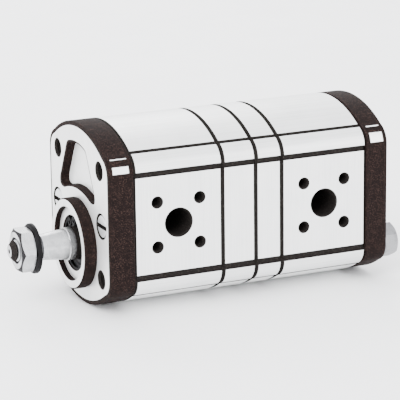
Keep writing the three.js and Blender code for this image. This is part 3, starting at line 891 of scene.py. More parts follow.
@dataclass
class Profile:
    """Cross-section of the housing: crowned top and bottom, round corners and flat side panels."""

    half_width: float = 43.0
    half_height: float = 50.0
    corner_radius: float = 10.7
    corner_start: float = 29.3
    corner_sweep: float = math.radians(71)
    panel: float = 42.2
    groove_depth: float = 0.9
    groove_top: float = 29.3
    groove_foot: float = 26.7
    groove_slope: float = 0.4
    groove_mouth: float = 0.7
    notch: float = 1.25
    notch_depth: float = 1.0
    corner_steps: int = 14
    crown_steps: int = 30

    def __post_init__(self) -> None:
        """Works out the crown from the corner's end and the section's height."""
        self.corner_y = self.half_width - self.corner_radius
        self.edge_y = self.corner_y + self.corner_radius * math.cos(self.corner_sweep)
        self.edge_z = self.corner_start + self.corner_radius * math.sin(self.corner_sweep)
        rise = self.half_height - self.edge_z
        self.crown_radius = (self.edge_y**2 + rise**2) / (2 * rise)
        self.crown_z = self.half_height - self.crown_radius
        self.crown_angle = math.atan2(self.edge_z - self.crown_z, self.edge_y)
        self.mouth_angle = math.asin(self.groove_mouth / self.corner_radius)

    def draw(self, name: str, x: float, grooved: bool) -> bpy.types.Object:
        """Draws the section as one face.

        Args:
            name: name of the object.
            x: where the face is.
            grooved: whether it has the sunk side panels and the notches along its edges.

        Returns:
            The object.
        """
        side_y = self.panel if grooved else self.half_width
        pen = Pen(name, (side_y, MIDDLE_Z), x)
        for side in (1, -1):
            self._half(pen, side, grooved)
        return pen.fill()

    def _half(self, pen: Pen, side: int, grooved: bool) -> None:
        """Draws from one panel over the crown to the other.

        Args:
            pen: the pen, at the middle of the panel.
            side: 1 for the upper half, -1 for the lower one, which is the upper one turned round.
            grooved: whether the notches are drawn.
        """

        def at(y: float, z: float) -> Point:
            """A point of the upper half, turned round for the lower one."""
            return side * y, MIDDLE_Z + side * z

        bottom = self.panel - self.groove_depth
        sill = (self.groove_foot + self.groove_slope, self.groove_top)
        slack = self.notch if grooved else 0.0
        mouth = self.mouth_angle if grooved else 0.0
        corner_end = self.corner_sweep - slack / self.corner_radius
        crown_start = self.crown_angle + slack / self.crown_radius
        sink = 1 - self.notch_depth / math.hypot(self.edge_y, self.edge_z)
        notch_foot = (self.edge_y * sink, self.edge_z * sink)

        def on_corner(angle: float) -> Point:
            """A point of the round corner."""
            radius = self.corner_radius
            return self.corner_y + radius * math.cos(angle), self.corner_start + radius * math.sin(angle)

        if grooved:
            pen.line(at(self.panel, self.groove_foot)).line(at(bottom, sill[0])).line(at(bottom, sill[1]))
        pen.line(at(*on_corner(mouth)))
        pen.arc(at(self.corner_y, self.corner_start), corner_end - mouth, self.corner_steps)
        if grooved:
            pen.line(at(*notch_foot))
            crown_y = self.crown_radius * math.cos(crown_start)
            pen.line(at(crown_y, self.crown_z + self.crown_radius * math.sin(crown_start)))
        pen.arc(at(0, self.crown_z), math.pi - 2 * crown_start, self.crown_steps)
        if grooved:
            pen.line(at(-notch_foot[0], notch_foot[1]))
            y, z = on_corner(corner_end)
            pen.line(at(-y, z))
        pen.arc(at(-self.corner_y, self.corner_start), corner_end - mouth, self.corner_steps)
        if grooved:
            pen.line(at(-bottom, sill[1])).line(at(-bottom, sill[0])).line(at(-self.panel, self.groove_foot))
            pen.line(at(-self.panel, 0))
        else:
            pen.line(at(-self.half_width, 0))

    def solid(self, name: str, stations: Sequence[Point], grooved: bool) -> bpy.types.Object:
        """Pulls the section into a solid.

        Args:
            name: name of the solid.
            stations: (x, inset) pairs in order.
            grooved: whether it has panels and notches.

        Returns:
            The solid.
        """
        piece = self.draw(name, stations[0][0], grooved)
        pull(piece, stations, (0, MIDDLE_Z), self.half_height)
        return piece

    def in_groove(self, middle: Vector, _normal: Vector) -> bool:
        """Whether a face lies in one of the grooves along the section."""
        y, z = abs(middle.y), abs(middle.z - MIDDLE_Z)
        beside_panel = y > 40 and self.groove_foot - 0.05 < z < self.corner_start + self.groove_mouth
        on_notch = math.hypot(y - self.edge_y, z - self.edge_z) < self.notch + 0.2
        return beside_panel or on_notch


PROFILE = Profile()


@dataclass
class ThreadedHole:
    """A tapped hole: countersunk mouth, thread and drill point."""

    root: float
    crest: float
    depth: float
    pitch: float
    countersink: float = 0.6

    def cutter(self, name: str) -> bpy.types.Object:
        """The cutter, along +X from its mouth at the origin."""
        mouth = self.root + self.countersink
        profile = [(-1, 0), (-1, mouth), (0, mouth), (self.countersink, self.root)]
        profile += thread(self.countersink + 0.05, self.depth, self.root, self.crest, self.pitch)
        profile += [(self.depth + self.crest * 0.5, 0)]
        return turned(name, profile, 28)


@dataclass
class Port:
    """A port in a body's side: its bore and the four tapped holes of the flange round it."""

    radius: float
    pitch_radius: float
    axis: Axis
    hole: ThreadedHole = field(default_factory=lambda: ThreadedHole(3.0, 2.6, 12.0, 1.0, 0.45))
    lip: float = 0.7
    inner: float = 36.0

    def cutters(self, x: float, face: float) -> list[bpy.types.Object]:
        """Makes the cutters of the port.

        Args:
            x: place of its centre along the pump.
            face: distance of the side's face from the pump's middle.

        Returns:
            The cutters of its bore and its four tapped holes.
        """
        side = 1 if self.axis is Axis.MINUS_Y else -1
        mouth = (x, -side * face, MIDDLE_Z)
        inward = Axis.PLUS_Y if side > 0 else Axis.MINUS_Y
        rim = self.radius + self.lip
        profile = [(-1, 0), (-1, rim), (0, rim)]
        profile += [(self.lip, self.radius), (self.inner, self.radius), (self.inner, 0)]
        bore = turned("port_bore", profile, 72)
        made = [point_along(bore, inward, mouth)]
        step = self.pitch_radius * math.sqrt(0.5)
        for along in (-step, step):
            for up in (-step, step):
                tapped = self.hole.cutter("port_hole")
                made.append(point_along(tapped, inward, (x + along, mouth[1], MIDDLE_Z + up)))
        return made


@dataclass
class Housing:
    """The two bodies and two middle plates of the housing, each bored and faced as the real one is; the
    covers take their hole places from it.
    """

    chamber: float = 19.4
    coupling_hole: float = 13.0
    bolt_hole: float = 5.5
    bolt_offset: float = 30.0
    screw_offset: float = 31.5
    seam: float = 1.25
    pressure: Port = field(default_factory=lambda: Port(7.5, 17.5, Axis.MINUS_Y))
    suction: Port = field(default_factory=lambda: Port(10.0, 20.0, Axis.PLUS_Y))
    body_nodes: Sequence[str] = ("front_body", "rear_body")
    plate_nodes: Sequence[str] = ("front_middle_plate", "rear_middle_plate")

    def bolt_bores(self, start: float, end: float) -> list[bpy.types.Object]:
        """Makes the cutters of the four tie bolt holes.

        Args:
            start: x of their near ends.
            end: x of their far ends.

        Returns:
            The cutters.
        """
        spots = corners(self.bolt_offset)
        return [plain_bore("bolt_bore", self.bolt_hole, start, end, spot, 32) for spot in spots]

    def seamed(self, name: str, start: float, end: float) -> bpy.types.Object:
        """Makes a grooved section with a chamfer at both of its seams.

        Args:
            name: name of the section.
            start: x of its front.
            end: x of its back.

        Returns:
            The section.
        """
        stations = [(start, self.seam), (start + self.seam, 0), (end - self.seam, 0), (end, self.seam)]
        return PROFILE.solid(name, stations, grooved=True)

    def dress_section(self, piece: bpy.types.Object, start: float, end: float) -> None:
        """Gives a section its drawn aluminium and milled panels, with painted shade on the seam chamfers, in
        the grooves and inside the ports.

        Args:
            piece: the section.
            start: x of its front.
            end: x of its back.
        """

        def in_seam(middle: Vector, normal: Vector) -> bool:
            """Whether a face is the chamfer of a seam."""
            near_end = middle.x < start + self.seam or middle.x > end - self.seam
            outside = math.hypot(middle.y, middle.z - MIDDLE_Z) > 38
            return near_end and outside and 0.3 < abs(normal.x) < 0.95

        def on_panel(middle: Vector, normal: Vector) -> bool:
            """Whether a face is a side panel."""
            return abs(normal.y) > 0.95 and abs(abs(middle.y) - PROFILE.panel) < 0.2

        def in_port(middle: Vector, normal: Vector) -> bool:
            """Whether a face is inside a port or one of its tapped holes."""
            inside = abs(middle.y) < PROFILE.panel - 0.1 and abs(middle.z - MIDDLE_Z) < 18
            return inside and abs(normal.y) < 0.9 and start + 4 < middle.x < end - 4

        # Painted shade: near-black on the seam chamfers, in the grooves along the section and inside the
        # ports and their tapped holes.
        rules = ((PAINTED_SHADE, in_seam), (PAINTED_SHADE, PROFILE.in_groove), (MILLED, on_panel), (PAINTED_SHADE, in_port))
        dress(piece, DRAWN, *rules)

    def build_body(self, node: str) -> None:
        """A gear chamber with a port in each side."""
        start, end = span(node)
        middle = (start + end) / 2
        piece = self.seamed(f"{node}_shell", start, end)
        for z in (0.0, AXIS_SPACING):
            cut(piece, [plain_bore("bore", self.chamber, start - 1, end + 1, (0, z))])
        for port in (self.pressure, self.suction):
            cut(piece, port.cutters(middle, PROFILE.panel))
        cut(piece, self.bolt_bores(start - 1, end + 1))
        self.dress_section(piece, start, end)
        deliver(piece, "housing", Slot.BODY, node, weld=False)

    def build_plate(self, node: str) -> None:
        """A middle plate with the space for the coupling."""
        start, end = span(node)
        piece = self.seamed(f"{node}_shell", start, end)
        bore = plain_bore("bore", self.coupling_hole, start - 1, end + 1, (0, 0))
        cut(piece, [bore, *self.bolt_bores(start - 1, end + 1)])
        self.dress_section(piece, start, end)
        deliver(piece, "housing", Slot.BODY, node)

    def build(self) -> None:
        """Both bodies and both plates."""
        for node in self.body_nodes:
            self.build_body(node)
        for node in self.plate_nodes:
            self.build_plate(node)


def rounded(end: float, radius: float, steps: int = 4) -> list[Point]:
    """Lays out the stations of a rounded edge.

    Args:
        end: x where the edge ends.
        radius: its radius.
        steps: number of its faces.

    Returns:
        The (x, inset) pairs, in order.
    """
    turns = [math.pi / 2 * i / steps for i in range(steps, -1, -1)]
    return [(end - radius * (1 - math.cos(t)), radius * (1 - math.sin(t))) for t in turns]


@dataclass
class Recess:
    """The cast recess of the front cover: a low arc, a top arc and two leaning sides with round corners."""

    low_radius: float = 50.0
    low_rise: float = 13.6
    low_reach: float = 17.5
    foot: Point = (25.4, 9.4)
    side_low: Point = (23.5, 15.5)
    side_high: Point = (14.4, 33.0)
    shoulder: Point = (13.0, 36.2)
    top_radius: float = 38.3
    top_reach: float = 10.5
    middle: float = 24.0
    reach: float = 20.0
    shift: float = 2.3
    corner_steps: int = 7
    stations: Sequence[Point] = ((-1, -1.5), (0.1, -1.5), (0.24, 0), (3.4, 0.3), (3.9, 0.55), (4.3, 1.2))

    def cutter(self) -> bpy.types.Object:
        """Makes the cutter, which is narrower and rounded at the recess's floor."""
        low_half = math.asin(self.low_reach / self.low_radius)
        top_half = math.asin(self.top_reach / self.top_radius)
        low_end = self.low_rise - self.low_radius * (1 - math.cos(low_half))
        pen = Pen("recess", (-self.low_reach, MIDDLE_Z + low_end), self.stations[0][0])
        pen.arc((0, MIDDLE_Z + self.low_rise - self.low_radius), -2 * low_half, 16)
        self._corner(pen, self.foot, self.side_low)
        pen.line((self.side_high[0], MIDDLE_Z + self.side_high[1]))
        self._corner(pen, self.shoulder, (self.top_reach, self.top_radius * math.cos(top_half)))
        pen.arc((0, MIDDLE_Z), 2 * top_half, 12)
        self._corner(pen, self._across(self.shoulder), self._across(self.side_high))
        pen.line((-self.side_low[0], MIDDLE_Z + self.side_low[1]))
        self._corner(pen, self._across(self.foot), (-self.low_reach, low_end))
        cutter = pen.fill()
        pull(cutter, self.stations, (0, MIDDLE_Z + self.middle), self.reach)
        return point_along(cutter, Axis.PLUS_X, (0, self.shift, 0))

    @staticmethod
    def _across(point: Point) -> Point:
        """The same point on the other side."""
        return -point[0], point[1]

    def _corner(self, pen: Pen, through: Point, to: Point) -> None:
        """Draws a round corner.

        Args:
            pen: the pen, at the corner's start.
            through: the point that the corner bends towards, from the housing's centre line.
            to: the corner's end, from the housing's centre line.
        """
        start = pen.at
        bend = (through[0], MIDDLE_Z + through[1])
        end = (to[0], MIDDLE_Z + to[1])
        for i in range(1, self.corner_steps + 1):
            t = i / self.corner_steps
            weights = ((1 - t) ** 2, 2 * t * (1 - t), t**2)
            y, z = (sum(w * p[k] for w, p in zip(weights, (start, bend, end))) for k in (0, 1))
            pen.line((y, z))


@dataclass
class FrontCover:
    """Cast cover with the pilot, the seal pocket, the recess and the screw holes."""

    pilot_radius: float = 25.0
    pilot_length: float = 7.15
    relief: float = 0.4
    face_bore: float = 20.0
    face_depth: float = 3.0
    pocket: float = 15.0
    pocket_end: float = 6.2
    shaft_hole: float = 10.0
    circlip_groove: tuple[float, float] = (-3.6, -2.2)
    circlip_depth: float = 1.1
    bevel: float = 2.4
    screw_head: float = 6.8
    screw_seat: float = 5.3
    screw_hole: float = 4.3
    bolt_end: float = 5.2
    through: float = 16.0
    hole: ThreadedHole = field(default_factory=lambda: ThreadedHole(4.9, 4.4, 7.5, 1.5, 0.5))
    recess: Recess = field(default_factory=Recess)

    def pilot(self) -> bpy.types.Object:
        """The round pilot, with a small chamfer and a relief at its foot."""
        face = -self.pilot_length
        radius = self.pilot_radius
        profile = [
            (face, 0),
            (face, radius - 0.7),
            (face + 0.25, radius - 0.2),
            (face + 0.7, radius),
            (-1.3, radius),
            (-1.0, radius - self.relief),
            (1.0, radius - self.relief),
            (1.0, 0),
        ]
        return turned("pilot", profile, 128)

    def bore(self) -> bpy.types.Object:
        """Cutter of the whole stepped bore, with the circlip's groove."""
        face = -self.pilot_length
        step = face + self.face_depth
        pocket = self.pocket
        groove_start, groove_end = self.circlip_groove
        profile = [
            (face - 1, 0),
            (face - 1, self.face_bore + 0.5),
            (face, self.face_bore + 0.5),
            (face + 0.5, self.face_bore),
            (step, self.face_bore),
            (step, pocket + 0.5),
            (step + 0.4, pocket),
            (groove_start, pocket),
            (groove_start, pocket + self.circlip_depth),
            (groove_end, pocket + self.circlip_depth),
            (groove_end, pocket),
            (self.pocket_end, pocket),
            (self.pocket_end, self.shaft_hole),
            (self.through, self.shaft_hole),
            (self.through, 0),
        ]
        return turned("seal_bore", profile, 112)

    def screw_seats(self, offset: float) -> list[bpy.types.Object]:
        """Cutters of the two slotted screws' holes, at a distance to either side."""
        rim = self.screw_head + 0.4
        profile = [(-1, 0), (-1, rim), (0, rim), (0.4, self.screw_head), (self.screw_seat, self.screw_head)]
        profile += [(self.screw_seat, self.screw_hole), (self.through, self.screw_hole), (self.through, 0)]
        places = [(0, side * offset, MIDDLE_Z) for side in (-1, 1)]
        return [point_along(turned("screw_seat", profile), Axis.PLUS_X, place) for place in places]

    def build(self, housing: Housing) -> None:
        """Makes, dresses and delivers the cover."""
        _, end = span("front_cover")
        stations = [(0, self.bevel), (0.12, 0.35), (0.3, 0.12), (0.6, 0), (end - 0.5, 0), (end, 0.5)]
        piece = PROFILE.solid("front_cover_casting", stations, grooved=False)
        combine(piece, self.pilot(), Work.UNION)
        cut(piece, [self.bore()])
        cut(piece, [self.recess.cutter()])
        cut(piece, self.screw_seats(housing.screw_offset))
        for y, z in corners(housing.bolt_offset):
            cut(piece, [point_along(self.hole.cutter("cover_hole"), Axis.PLUS_X, (0, y, z))])
        cut(piece, housing.bolt_bores(self.bolt_end, end + 1))

        def faced(middle: Vector, normal: Vector) -> bool:
            """Whether a face is a machined one; the steps just behind the front stay rough."""
            rough_step = 0.02 < middle.x < 0.45
            return normal.x < -0.985 and middle.x < 4.6 and not rough_step

        def in_hole(middle: Vector, _normal: Vector) -> bool:
            """Whether a face is inside a corner hole or a screw's hole."""
            aside = math.hypot(abs(middle.y) - housing.screw_offset, middle.z - MIDDLE_Z)
            near = min(math.hypot(middle.y - y, middle.z - z) for y, z in corners(housing.bolt_offset))
            return (near < 5.6 or aside < self.screw_head + 0.4) and middle.x > 0.01

        # Painted shade: near-black inside the corner holes and the screws' holes.
        dress(piece, CAST, (PAINTED_SHADE, in_hole), (COVER_FACE, faced))
        deliver(piece, "housing", Slot.CAST_IRON, "front_cover")


@dataclass
class RearCover:
    """Cast cover with two counterbored corners and two spot-faced ones."""

    edge: float = 1.4
    pocket: float = 8.3
    pocket_depth: float = 7.5
    spot: float = 10.6
    spot_depth: float = 0.3

    def build(self, housing: Housing) -> None:
        """Makes, dresses and delivers the cover."""
        start, end = span("rear_cover")
        stations = [(start, 0.5), (start + 0.5, 0), *rounded(end, self.edge)]
        piece = PROFILE.solid("rear_cover_casting", stations, grooved=False)
        cut(piece, housing.bolt_bores(start - 1, end + 1))
        for i, (y, z) in enumerate(corners(housing.bolt_offset)):
            if i % 2 == 0:
                depth, radius = self.pocket_depth, self.pocket
                rim = radius + 0.5
                profile = [(0, 0), (0, radius), (depth - 0.5, radius), (depth, rim), (depth + 1, rim)]
            else:
                depth, radius = self.spot_depth, self.spot
                profile = [(0, 0), (0, radius), (depth + 1, radius)]
            profile.append((depth + 1, 0))
            cut(piece, [point_along(turned("seat", profile), Axis.PLUS_X, (end - depth, y, z))])

        def seat(middle: Vector, normal: Vector) -> bool:
            """Whether a face is the seat of a bolt's head."""
            near = min(math.hypot(middle.y - y, middle.z - z) for y, z in corners(housing.bolt_offset))
            return normal.x > 0.9 and near < self.spot and middle.x < end - 0.1

        # Painted highlight on the rear cover's upper corners, placed along this cover.
        rear_cast = CastFinish("cast_iron_rear", highlight_x=(156.0, 164.2), highlight_z=(30.8, 36.2), highlight_line_z=38.9)
        dress(piece, rear_cast, (COVER_FACE, seat))
        deliver(piece, "housing", Slot.CAST_IRON, "rear_cover")


# ---------------------------------------------------------------- shaft, seal and fasteners


@dataclass
class DriveShaft:
    """Drive shaft with its threaded end, taper, key seat, journals and gear."""

    teeth: int = 12
    tip: float = 19.0
    root: float = 13.4
    thinning: float = 0.25
    gear_width: float = 23.5
    gear_gap: float = 14.15
    edge: float = 0.4
    thread_crest: float = 6.0
    thread_root: float = 5.2
    pitch: float = 1.5
    taper_small: float = 7.02
    taper_large: float = 8.5
    journal: float = 9.0
    tang: tuple[float, float] = (3.0, 8.0)
    tang_length: float = 7.0
    key_radius: float = 6.8
    key_half_width: float = 1.8
    key_place: tuple[float, float, float] = (-16.5, 10.65, 0.0)
    shade_front: float = -37.5
    shade_back: float = -5.4

    def blank(self, front: float, back: float) -> bpy.types.Object:
        """Turns the shaft, with a centre hole in its end.

        Args:
            front: x of the threaded end.
            back: x of the other end.

        Returns:
            The shaft.
        """
        ridges = thread(front + 1.7, -25.6, self.thread_root, self.thread_crest, self.pitch)
        profile = [(front + 2, 0), (front + 0.8, 0.8), (front, 1.3), (front, 3.4), *ridges]
        profile += [(-25.4, 5.1), (-24.1, 5.1), (-24, 6.7), (-23.6, self.taper_small)]
        profile += [(-9, self.taper_large), (-8.6, self.journal - 0.05), (-8, self.journal)]
        profile += [(x, self.journal) for x in (self.shade_back, 1.0, back - 0.8)]
        profile += [(back, self.journal - 0.8), (back, 0)]
        return turned("drive_shaft_turned", profile, 96)

    def gear(self, start: float, end: float) -> bpy.types.Object:
        """Makes the gear: involute flanks, drawn tooth by tooth and pulled along the shaft.

        Args:
            start: x of its front face.
            end: x of its back face.

        Returns:
            The gear.
        """
        pitch_radius = AXIS_SPACING / 2
        base = pitch_radius * math.cos(math.radians(20))

        def involute(radius: float) -> float:
            """Turn of the flank at a radius, from its start at the base circle."""
            angle = math.acos(min(1.0, base / radius))
            return math.tan(angle) - angle

        half = math.pi / (2 * self.teeth) - self.thinning / (2 * pitch_radius) + involute(pitch_radius)
        flank = [self.root, base, *(base + (self.tip - base) * i / 5 for i in range(1, 6))]
        points = []
        for tooth in range(self.teeth):
            middle = math.pi / 2 + tooth * 2 * math.pi / self.teeth
            sides = [(r, middle - half + involute(r)) for r in flank]
            sides += [(r, middle + half - involute(r)) for r in reversed(flank)]
            points += [(r * math.cos(a), r * math.sin(a)) for r, a in sides]
        pen = Pen("drive_gear", points[0], start)
        for point in points[1:]:
            pen.line(point)
        piece = pen.fill()
        edge = self.edge
        pull(piece, [(start, edge), (start + edge, 0), (end - edge, 0), (end, edge)], (0, 0), self.tip)
        return piece

    def build(self) -> None:
        """Makes, dresses and delivers the shaft."""
        front, tang_end = span("front_drive_shaft")
        back = tang_end - self.tang_length
        body_start, _ = span("front_body")
        gear_start = body_start + self.gear_gap
        piece = self.blank(front, back)
        combine(piece, self.gear(gear_start, gear_start + self.gear_width), Work.UNION)
        y, z = self.tang
        combine(piece, box("tang", (back - 1, -y, -z), (tang_end, y, z)), Work.UNION)
        half, radius = self.key_half_width, self.key_radius
        seat = turned("key_seat", [(-half, 0), (-half, radius), (half, radius), (half, 0)], 64)
        seat.rotation_euler = (0, math.pi / 2, 0)
        seat.location = self.key_place
        apply_place(seat)
        combine(piece, seat, Work.DIFFERENCE)

        def in_painted_shade(middle: Vector, normal: Vector) -> bool:
            """Whether a face takes painted shade: the thread end in the nut's mouth, or the journal inside
            the seal.
            """
            on_thread_end = middle.x < self.shade_front and normal.x > -0.98
            return on_thread_end or self.shade_back < middle.x < 1.0

        # Painted shade: near-black on the thread end and on the journal in the seal pocket.
        dress(piece, STEEL, (PAINTED_SHADE, in_painted_shade))
        deliver(piece, "front_drive", Slot.STEEL, "front_drive_shaft", angle=28)


@dataclass
class ShaftNut:
    """Nut and washer on the shaft's thread."""

    flats: float = 22.0
    chamfer: float = 1.7
    corner: float = 13.0
    face: float = 10.0
    foot: float = 11.0
    mouth: float = 7.3
    bore: float = 6.3
    pitch: float = 1.5
    washer: float = 13.7

    def build(self) -> None:
        """Makes, dresses and delivers the nut and the washer."""
        start, end = span("shaft_nut")
        piece = hexagon("shaft_nut_hexagon", self.flats, start - 1, end + 1)
        profile = [(start, 0), (start, self.face), (start + self.chamfer, self.corner)]
        profile += [(end - 1.1, self.corner), (end - 0.2, self.foot + 0.2), (end, self.foot), (end, 0)]
        combine(piece, turned("nut_cone", profile, 96), Work.INTERSECT)
        hole = thread(start + 1.1, end - 0.9, self.bore, self.bore - 0.2, self.pitch)
        back = self.mouth - 0.3
        profile = [(start - 1, 0), (start - 1, self.mouth), (start, self.mouth), *hole]
        profile += [(end, back), (end + 1, back), (end + 1, 0)]
        combine(piece, turned("nut_hole", profile, 72), Work.DIFFERENCE)

        def on_shaded_chamfer(middle: Vector, normal: Vector) -> bool:
            """Whether a face is the chamfer of the front corners."""
            return middle.x < start + self.chamfer + 0.1 and 0.1 < abs(normal.x) < 0.97

        # Painted shade: the nut's front chamfer goes near-black.
        dress(piece, STEEL, (CHAMFER_SHADE_STEEL, on_shaded_chamfer))
        deliver(piece, "front_drive", Slot.STEEL, "shaft_nut", angle=25)
        self.build_washer()

    def build_washer(self) -> None:
        """A flat washer with one rounded rim and a stamped edge."""
        start, end = span("shaft_washer")
        profile = [
            (start, self.bore + 0.4),
            (start, self.washer - 1),
            (start + 0.25, self.washer - 0.4),
            (start + 0.8, self.washer),
            (end - 0.15, self.washer),
            (end, self.washer - 0.15),
            (end, self.bore),
            (start + 0.4, self.bore),
            (start, self.bore + 0.4),
        ]
        washer = turned("shaft_washer_disc", profile, 96)
        dress(washer, BLACK_STEEL)
        deliver(washer, "front_drive", Slot.BLACK, "shaft_washer")


@dataclass
class SealPocket:
    """Lip seal and circlip inside the pilot."""

    lip: float = 9.3
    web: float = 10.6
    case_inner: float = 12.9
    case_outer: float = 14.7
    gap_middle: float = math.radians(72)
    gap_half: float = 0.2
    ring_inner: float = 13.7
    ring_outer: float = 15.7
    lug: float = 2.3
    lug_place: float = 12.2
    lug_angle: float = 0.06
    lug_hole: float = 1.0
    lug_hole_place: float = 11.9

    def build_seal(self) -> None:
        """Rubber-coated case, sloping web, wiper lip and main lip."""
        start, end = span("shaft_seal")
        profile = [
            (start + 0.9, self.lip),
            (start + 0.1, self.lip + 0.3),
            (start + 1.0, self.web),
            (start + 1.1, self.case_inner - 0.9),
            (start, self.case_inner - 0.2),
            (start, self.case_outer - 0.3),
            (start + 0.3, self.case_outer),
            (end, self.case_outer),
            (end, self.case_inner),
            (start + 2.0, self.case_inner),
            (start + 2.0, self.web),
            (start + 4.4, self.lip),
            (start + 0.9, self.lip),
        ]
        seal = turned("shaft_seal_ring", profile, 112)
        dress(seal, RUBBER)
        deliver(seal, "housing", Slot.RUBBER, "shaft_seal")

    def build_circlip(self) -> None:
        """Open spring ring with a holed lug at each end."""
        start, end = span("seal_circlip")
        first = self.gap_middle + self.gap_half
        sweep = 2 * math.pi - 2 * self.gap_half
        cos, sin = math.cos(first), math.sin(first)
        pen = Pen("seal_circlip_ring", (self.ring_outer * cos, self.ring_outer * sin), start)
        pen.arc((0, 0), sweep, 90)
        last_cos, last_sin = math.cos(first + sweep), math.sin(first + sweep)
        pen.line((self.ring_inner * last_cos, self.ring_inner * last_sin))
        pen.arc((0, 0), -sweep, 90)
        ring = pen.fill()
        pull(ring, [(start, 0), (end, 0)], (0, 0), self.ring_outer)
        for angle in (first + self.lug_angle, first + sweep - self.lug_angle):
            y, z = math.cos(angle), math.sin(angle)
            spot = (self.lug_place * y, self.lug_place * z)
            combine(ring, plain_bore("lug", self.lug, start, end, spot, 32), Work.UNION)
            spot = (self.lug_hole_place * y, self.lug_hole_place * z)
            hole = plain_bore("lug_hole", self.lug_hole, start - 1, start + 2, spot, 24)
            combine(ring, hole, Work.DIFFERENCE)
        dress(ring, BLACK_STEEL)
        deliver(ring, "housing", Slot.BLACK, "seal_circlip")

    def build(self) -> None:
        """Both pieces."""
        self.build_seal()
        self.build_circlip()


@dataclass
class Fasteners:
    """Tie bolts and the slotted screws of the front cover."""

    bolt_radius: float = 5.0
    bolt_root: float = 4.4
    bolt_pitch: float = 1.5
    bolt_thread: float = 20.0
    hex_flats: float = 17.0
    washer: float = 2.2
    washer_radius: float = 9.8
    socket_head: float = 8.0
    socket_height: float = 7.0
    socket_flats: float = 7.0
    socket_depth: float = 4.0
    screw_radius: float = 4.0
    screw_root: float = 3.45
    screw_pitch: float = 1.25
    screw_head: float = 6.0
    slot: float = 2.4
    slot_depth: float = 2.0

    def shank(self, start: float, end: float) -> bpy.types.Object:
        """Turns a bolt's shank, threaded at its tip and plain behind.

        Args:
            start: x of its tip.
            end: x of its end inside the head.

        Returns:
            The shank.
        """
        radius = self.bolt_radius
        ridges = thread(start + 1, start + self.bolt_thread, self.bolt_root, radius, self.bolt_pitch)
        profile = [(start, 0), (start, self.bolt_root - 0.5), *ridges]
        profile += [(start + self.bolt_thread + 0.5, radius), (end, radius), (end, 0)]
        return turned("shank", profile, 40)

    def hex_bolt(self, name: str, y: float, z: float) -> None:
        """Makes, dresses and delivers a tie bolt with a hexagonal head on a washer.

        Args:
            name: the bolt's CAD node.
            y: place of its axis across the pump.
            z: height of its axis.
        """
        start, end = span(name)
        cover = span("rear_cover")[1]
        seat = cover + self.washer
        piece = hexagon(f"{name}_hex", self.hex_flats, seat - 0.1, end + 1, math.pi / 6)
        profile = [(cover, 0), (cover, 12), (end - 1.6, 12)]
        profile += [(end - 1.1, 9.7), (end - 0.1, 8.0), (end, 7.6), (end, 0)]
        combine(piece, turned("crown", profile, 72), Work.INTERSECT)
        rim = self.washer_radius
        profile = [(cover, 0), (cover, rim - 0.1), (cover + 0.1, rim)]
        profile += [(seat - 0.4, rim), (seat, rim - 0.5), (seat, 0)]
        combine(piece, turned("washer", profile, 72), Work.UNION)
        combine(piece, self.shank(start, cover + 1), Work.UNION)

        def on_shaded_chamfer(middle: Vector, normal: Vector) -> bool:
            """Whether a face is the chamfer of the head's corners."""
            return middle.x > end - 2.2 and 0.1 < normal.x < 0.97

        # Painted shade: the head's chamfer goes near-black.
        self.place(piece, name, y, z, BOLT_STEEL, Slot.STEEL, (CHAMFER_SHADE_STEEL, on_shaded_chamfer))

    def socket_bolt(self, name: str, y: float, z: float) -> None:
        """Makes, dresses and delivers a tie bolt with a round head and a hexagonal socket.

        Args:
            name: the bolt's CAD node.
            y: place of its axis across the pump.
            z: height of its axis.
        """
        start, end = span(name)
        head = end - self.socket_height
        rim = self.socket_head
        profile = [(head, 0), (head, rim), (end - 0.6, rim)]
        profile += [(end - 0.2, rim - 0.2), (end, rim - 0.6), (end, 0)]
        piece = turned(f"{name}_socket", profile, 72)
        socket = hexagon("socket", self.socket_flats, end - self.socket_depth, end + 1)
        combine(piece, socket, Work.DIFFERENCE)
        combine(piece, self.shank(start, head + 1), Work.UNION)
        self.place(piece, name, y, z, BLACK_STEEL, Slot.BLACK)

    @staticmethod
    def place(
        piece: bpy.types.Object,
        name: str,
        y: float,
        z: float,
        finish: Finish,
        slot: Slot,
        *rules: tuple[Finish, Rule],
    ) -> None:
        """Puts a bolt on its axis, dresses it and delivers it.

        Args:
            piece: the bolt, made on the drive axis.
            name: its CAD node.
            y: place of its axis across the pump.
            z: height of its axis.
            finish: its finish.
            slot: its slot.
            rules: (finish, test) pairs for some of its faces.
        """
        point_along(piece, Axis.PLUS_X, (0, y, z))
        dress(piece, finish, *rules)
        deliver(piece, "housing", slot, name, angle=25)

    def slotted_screw(self, name: str, side: int, offset: float) -> None:
        """Makes, dresses and delivers a cheese-head screw, flush in the cover.

        Args:
            name: the screw's CAD node.
            side: 1 for the suction side, -1 for the pressure side.
            offset: distance of its axis from the pump's middle.
        """
        start, end = span(name)
        head, radius = self.screw_head, self.screw_radius
        ridges = thread(start + 12, end - 0.8, self.screw_root, radius, self.screw_pitch)
        profile = [(start, 0), (start, head - 0.5), (start + 0.15, head - 0.15), (start + 0.5, head)]
        profile += [(5, head), (5, radius), (start + 11.8, radius), *ridges, (end, 3), (end, 0)]
        piece = turned(f"{name}_turned", profile, 64)
        half = self.slot / 2
        slot = box("slot", (start - 1, -8, -half), (start + self.slot_depth, 8, half))
        combine(piece, slot, Work.DIFFERENCE)
        point_along(piece, Axis.PLUS_X, (0, side * offset, MIDDLE_Z))

        def in_slot(middle: Vector, _normal: Vector) -> bool:
            """Whether a face is inside the slot."""
            return middle.x > start and abs(middle.z - MIDDLE_Z) < half + 0.1

        # Painted shade: near-black inside the slot.
        dress(piece, ZINC, (PAINTED_SHADE, in_slot))
        deliver(piece, "housing", Slot.STEEL, name)

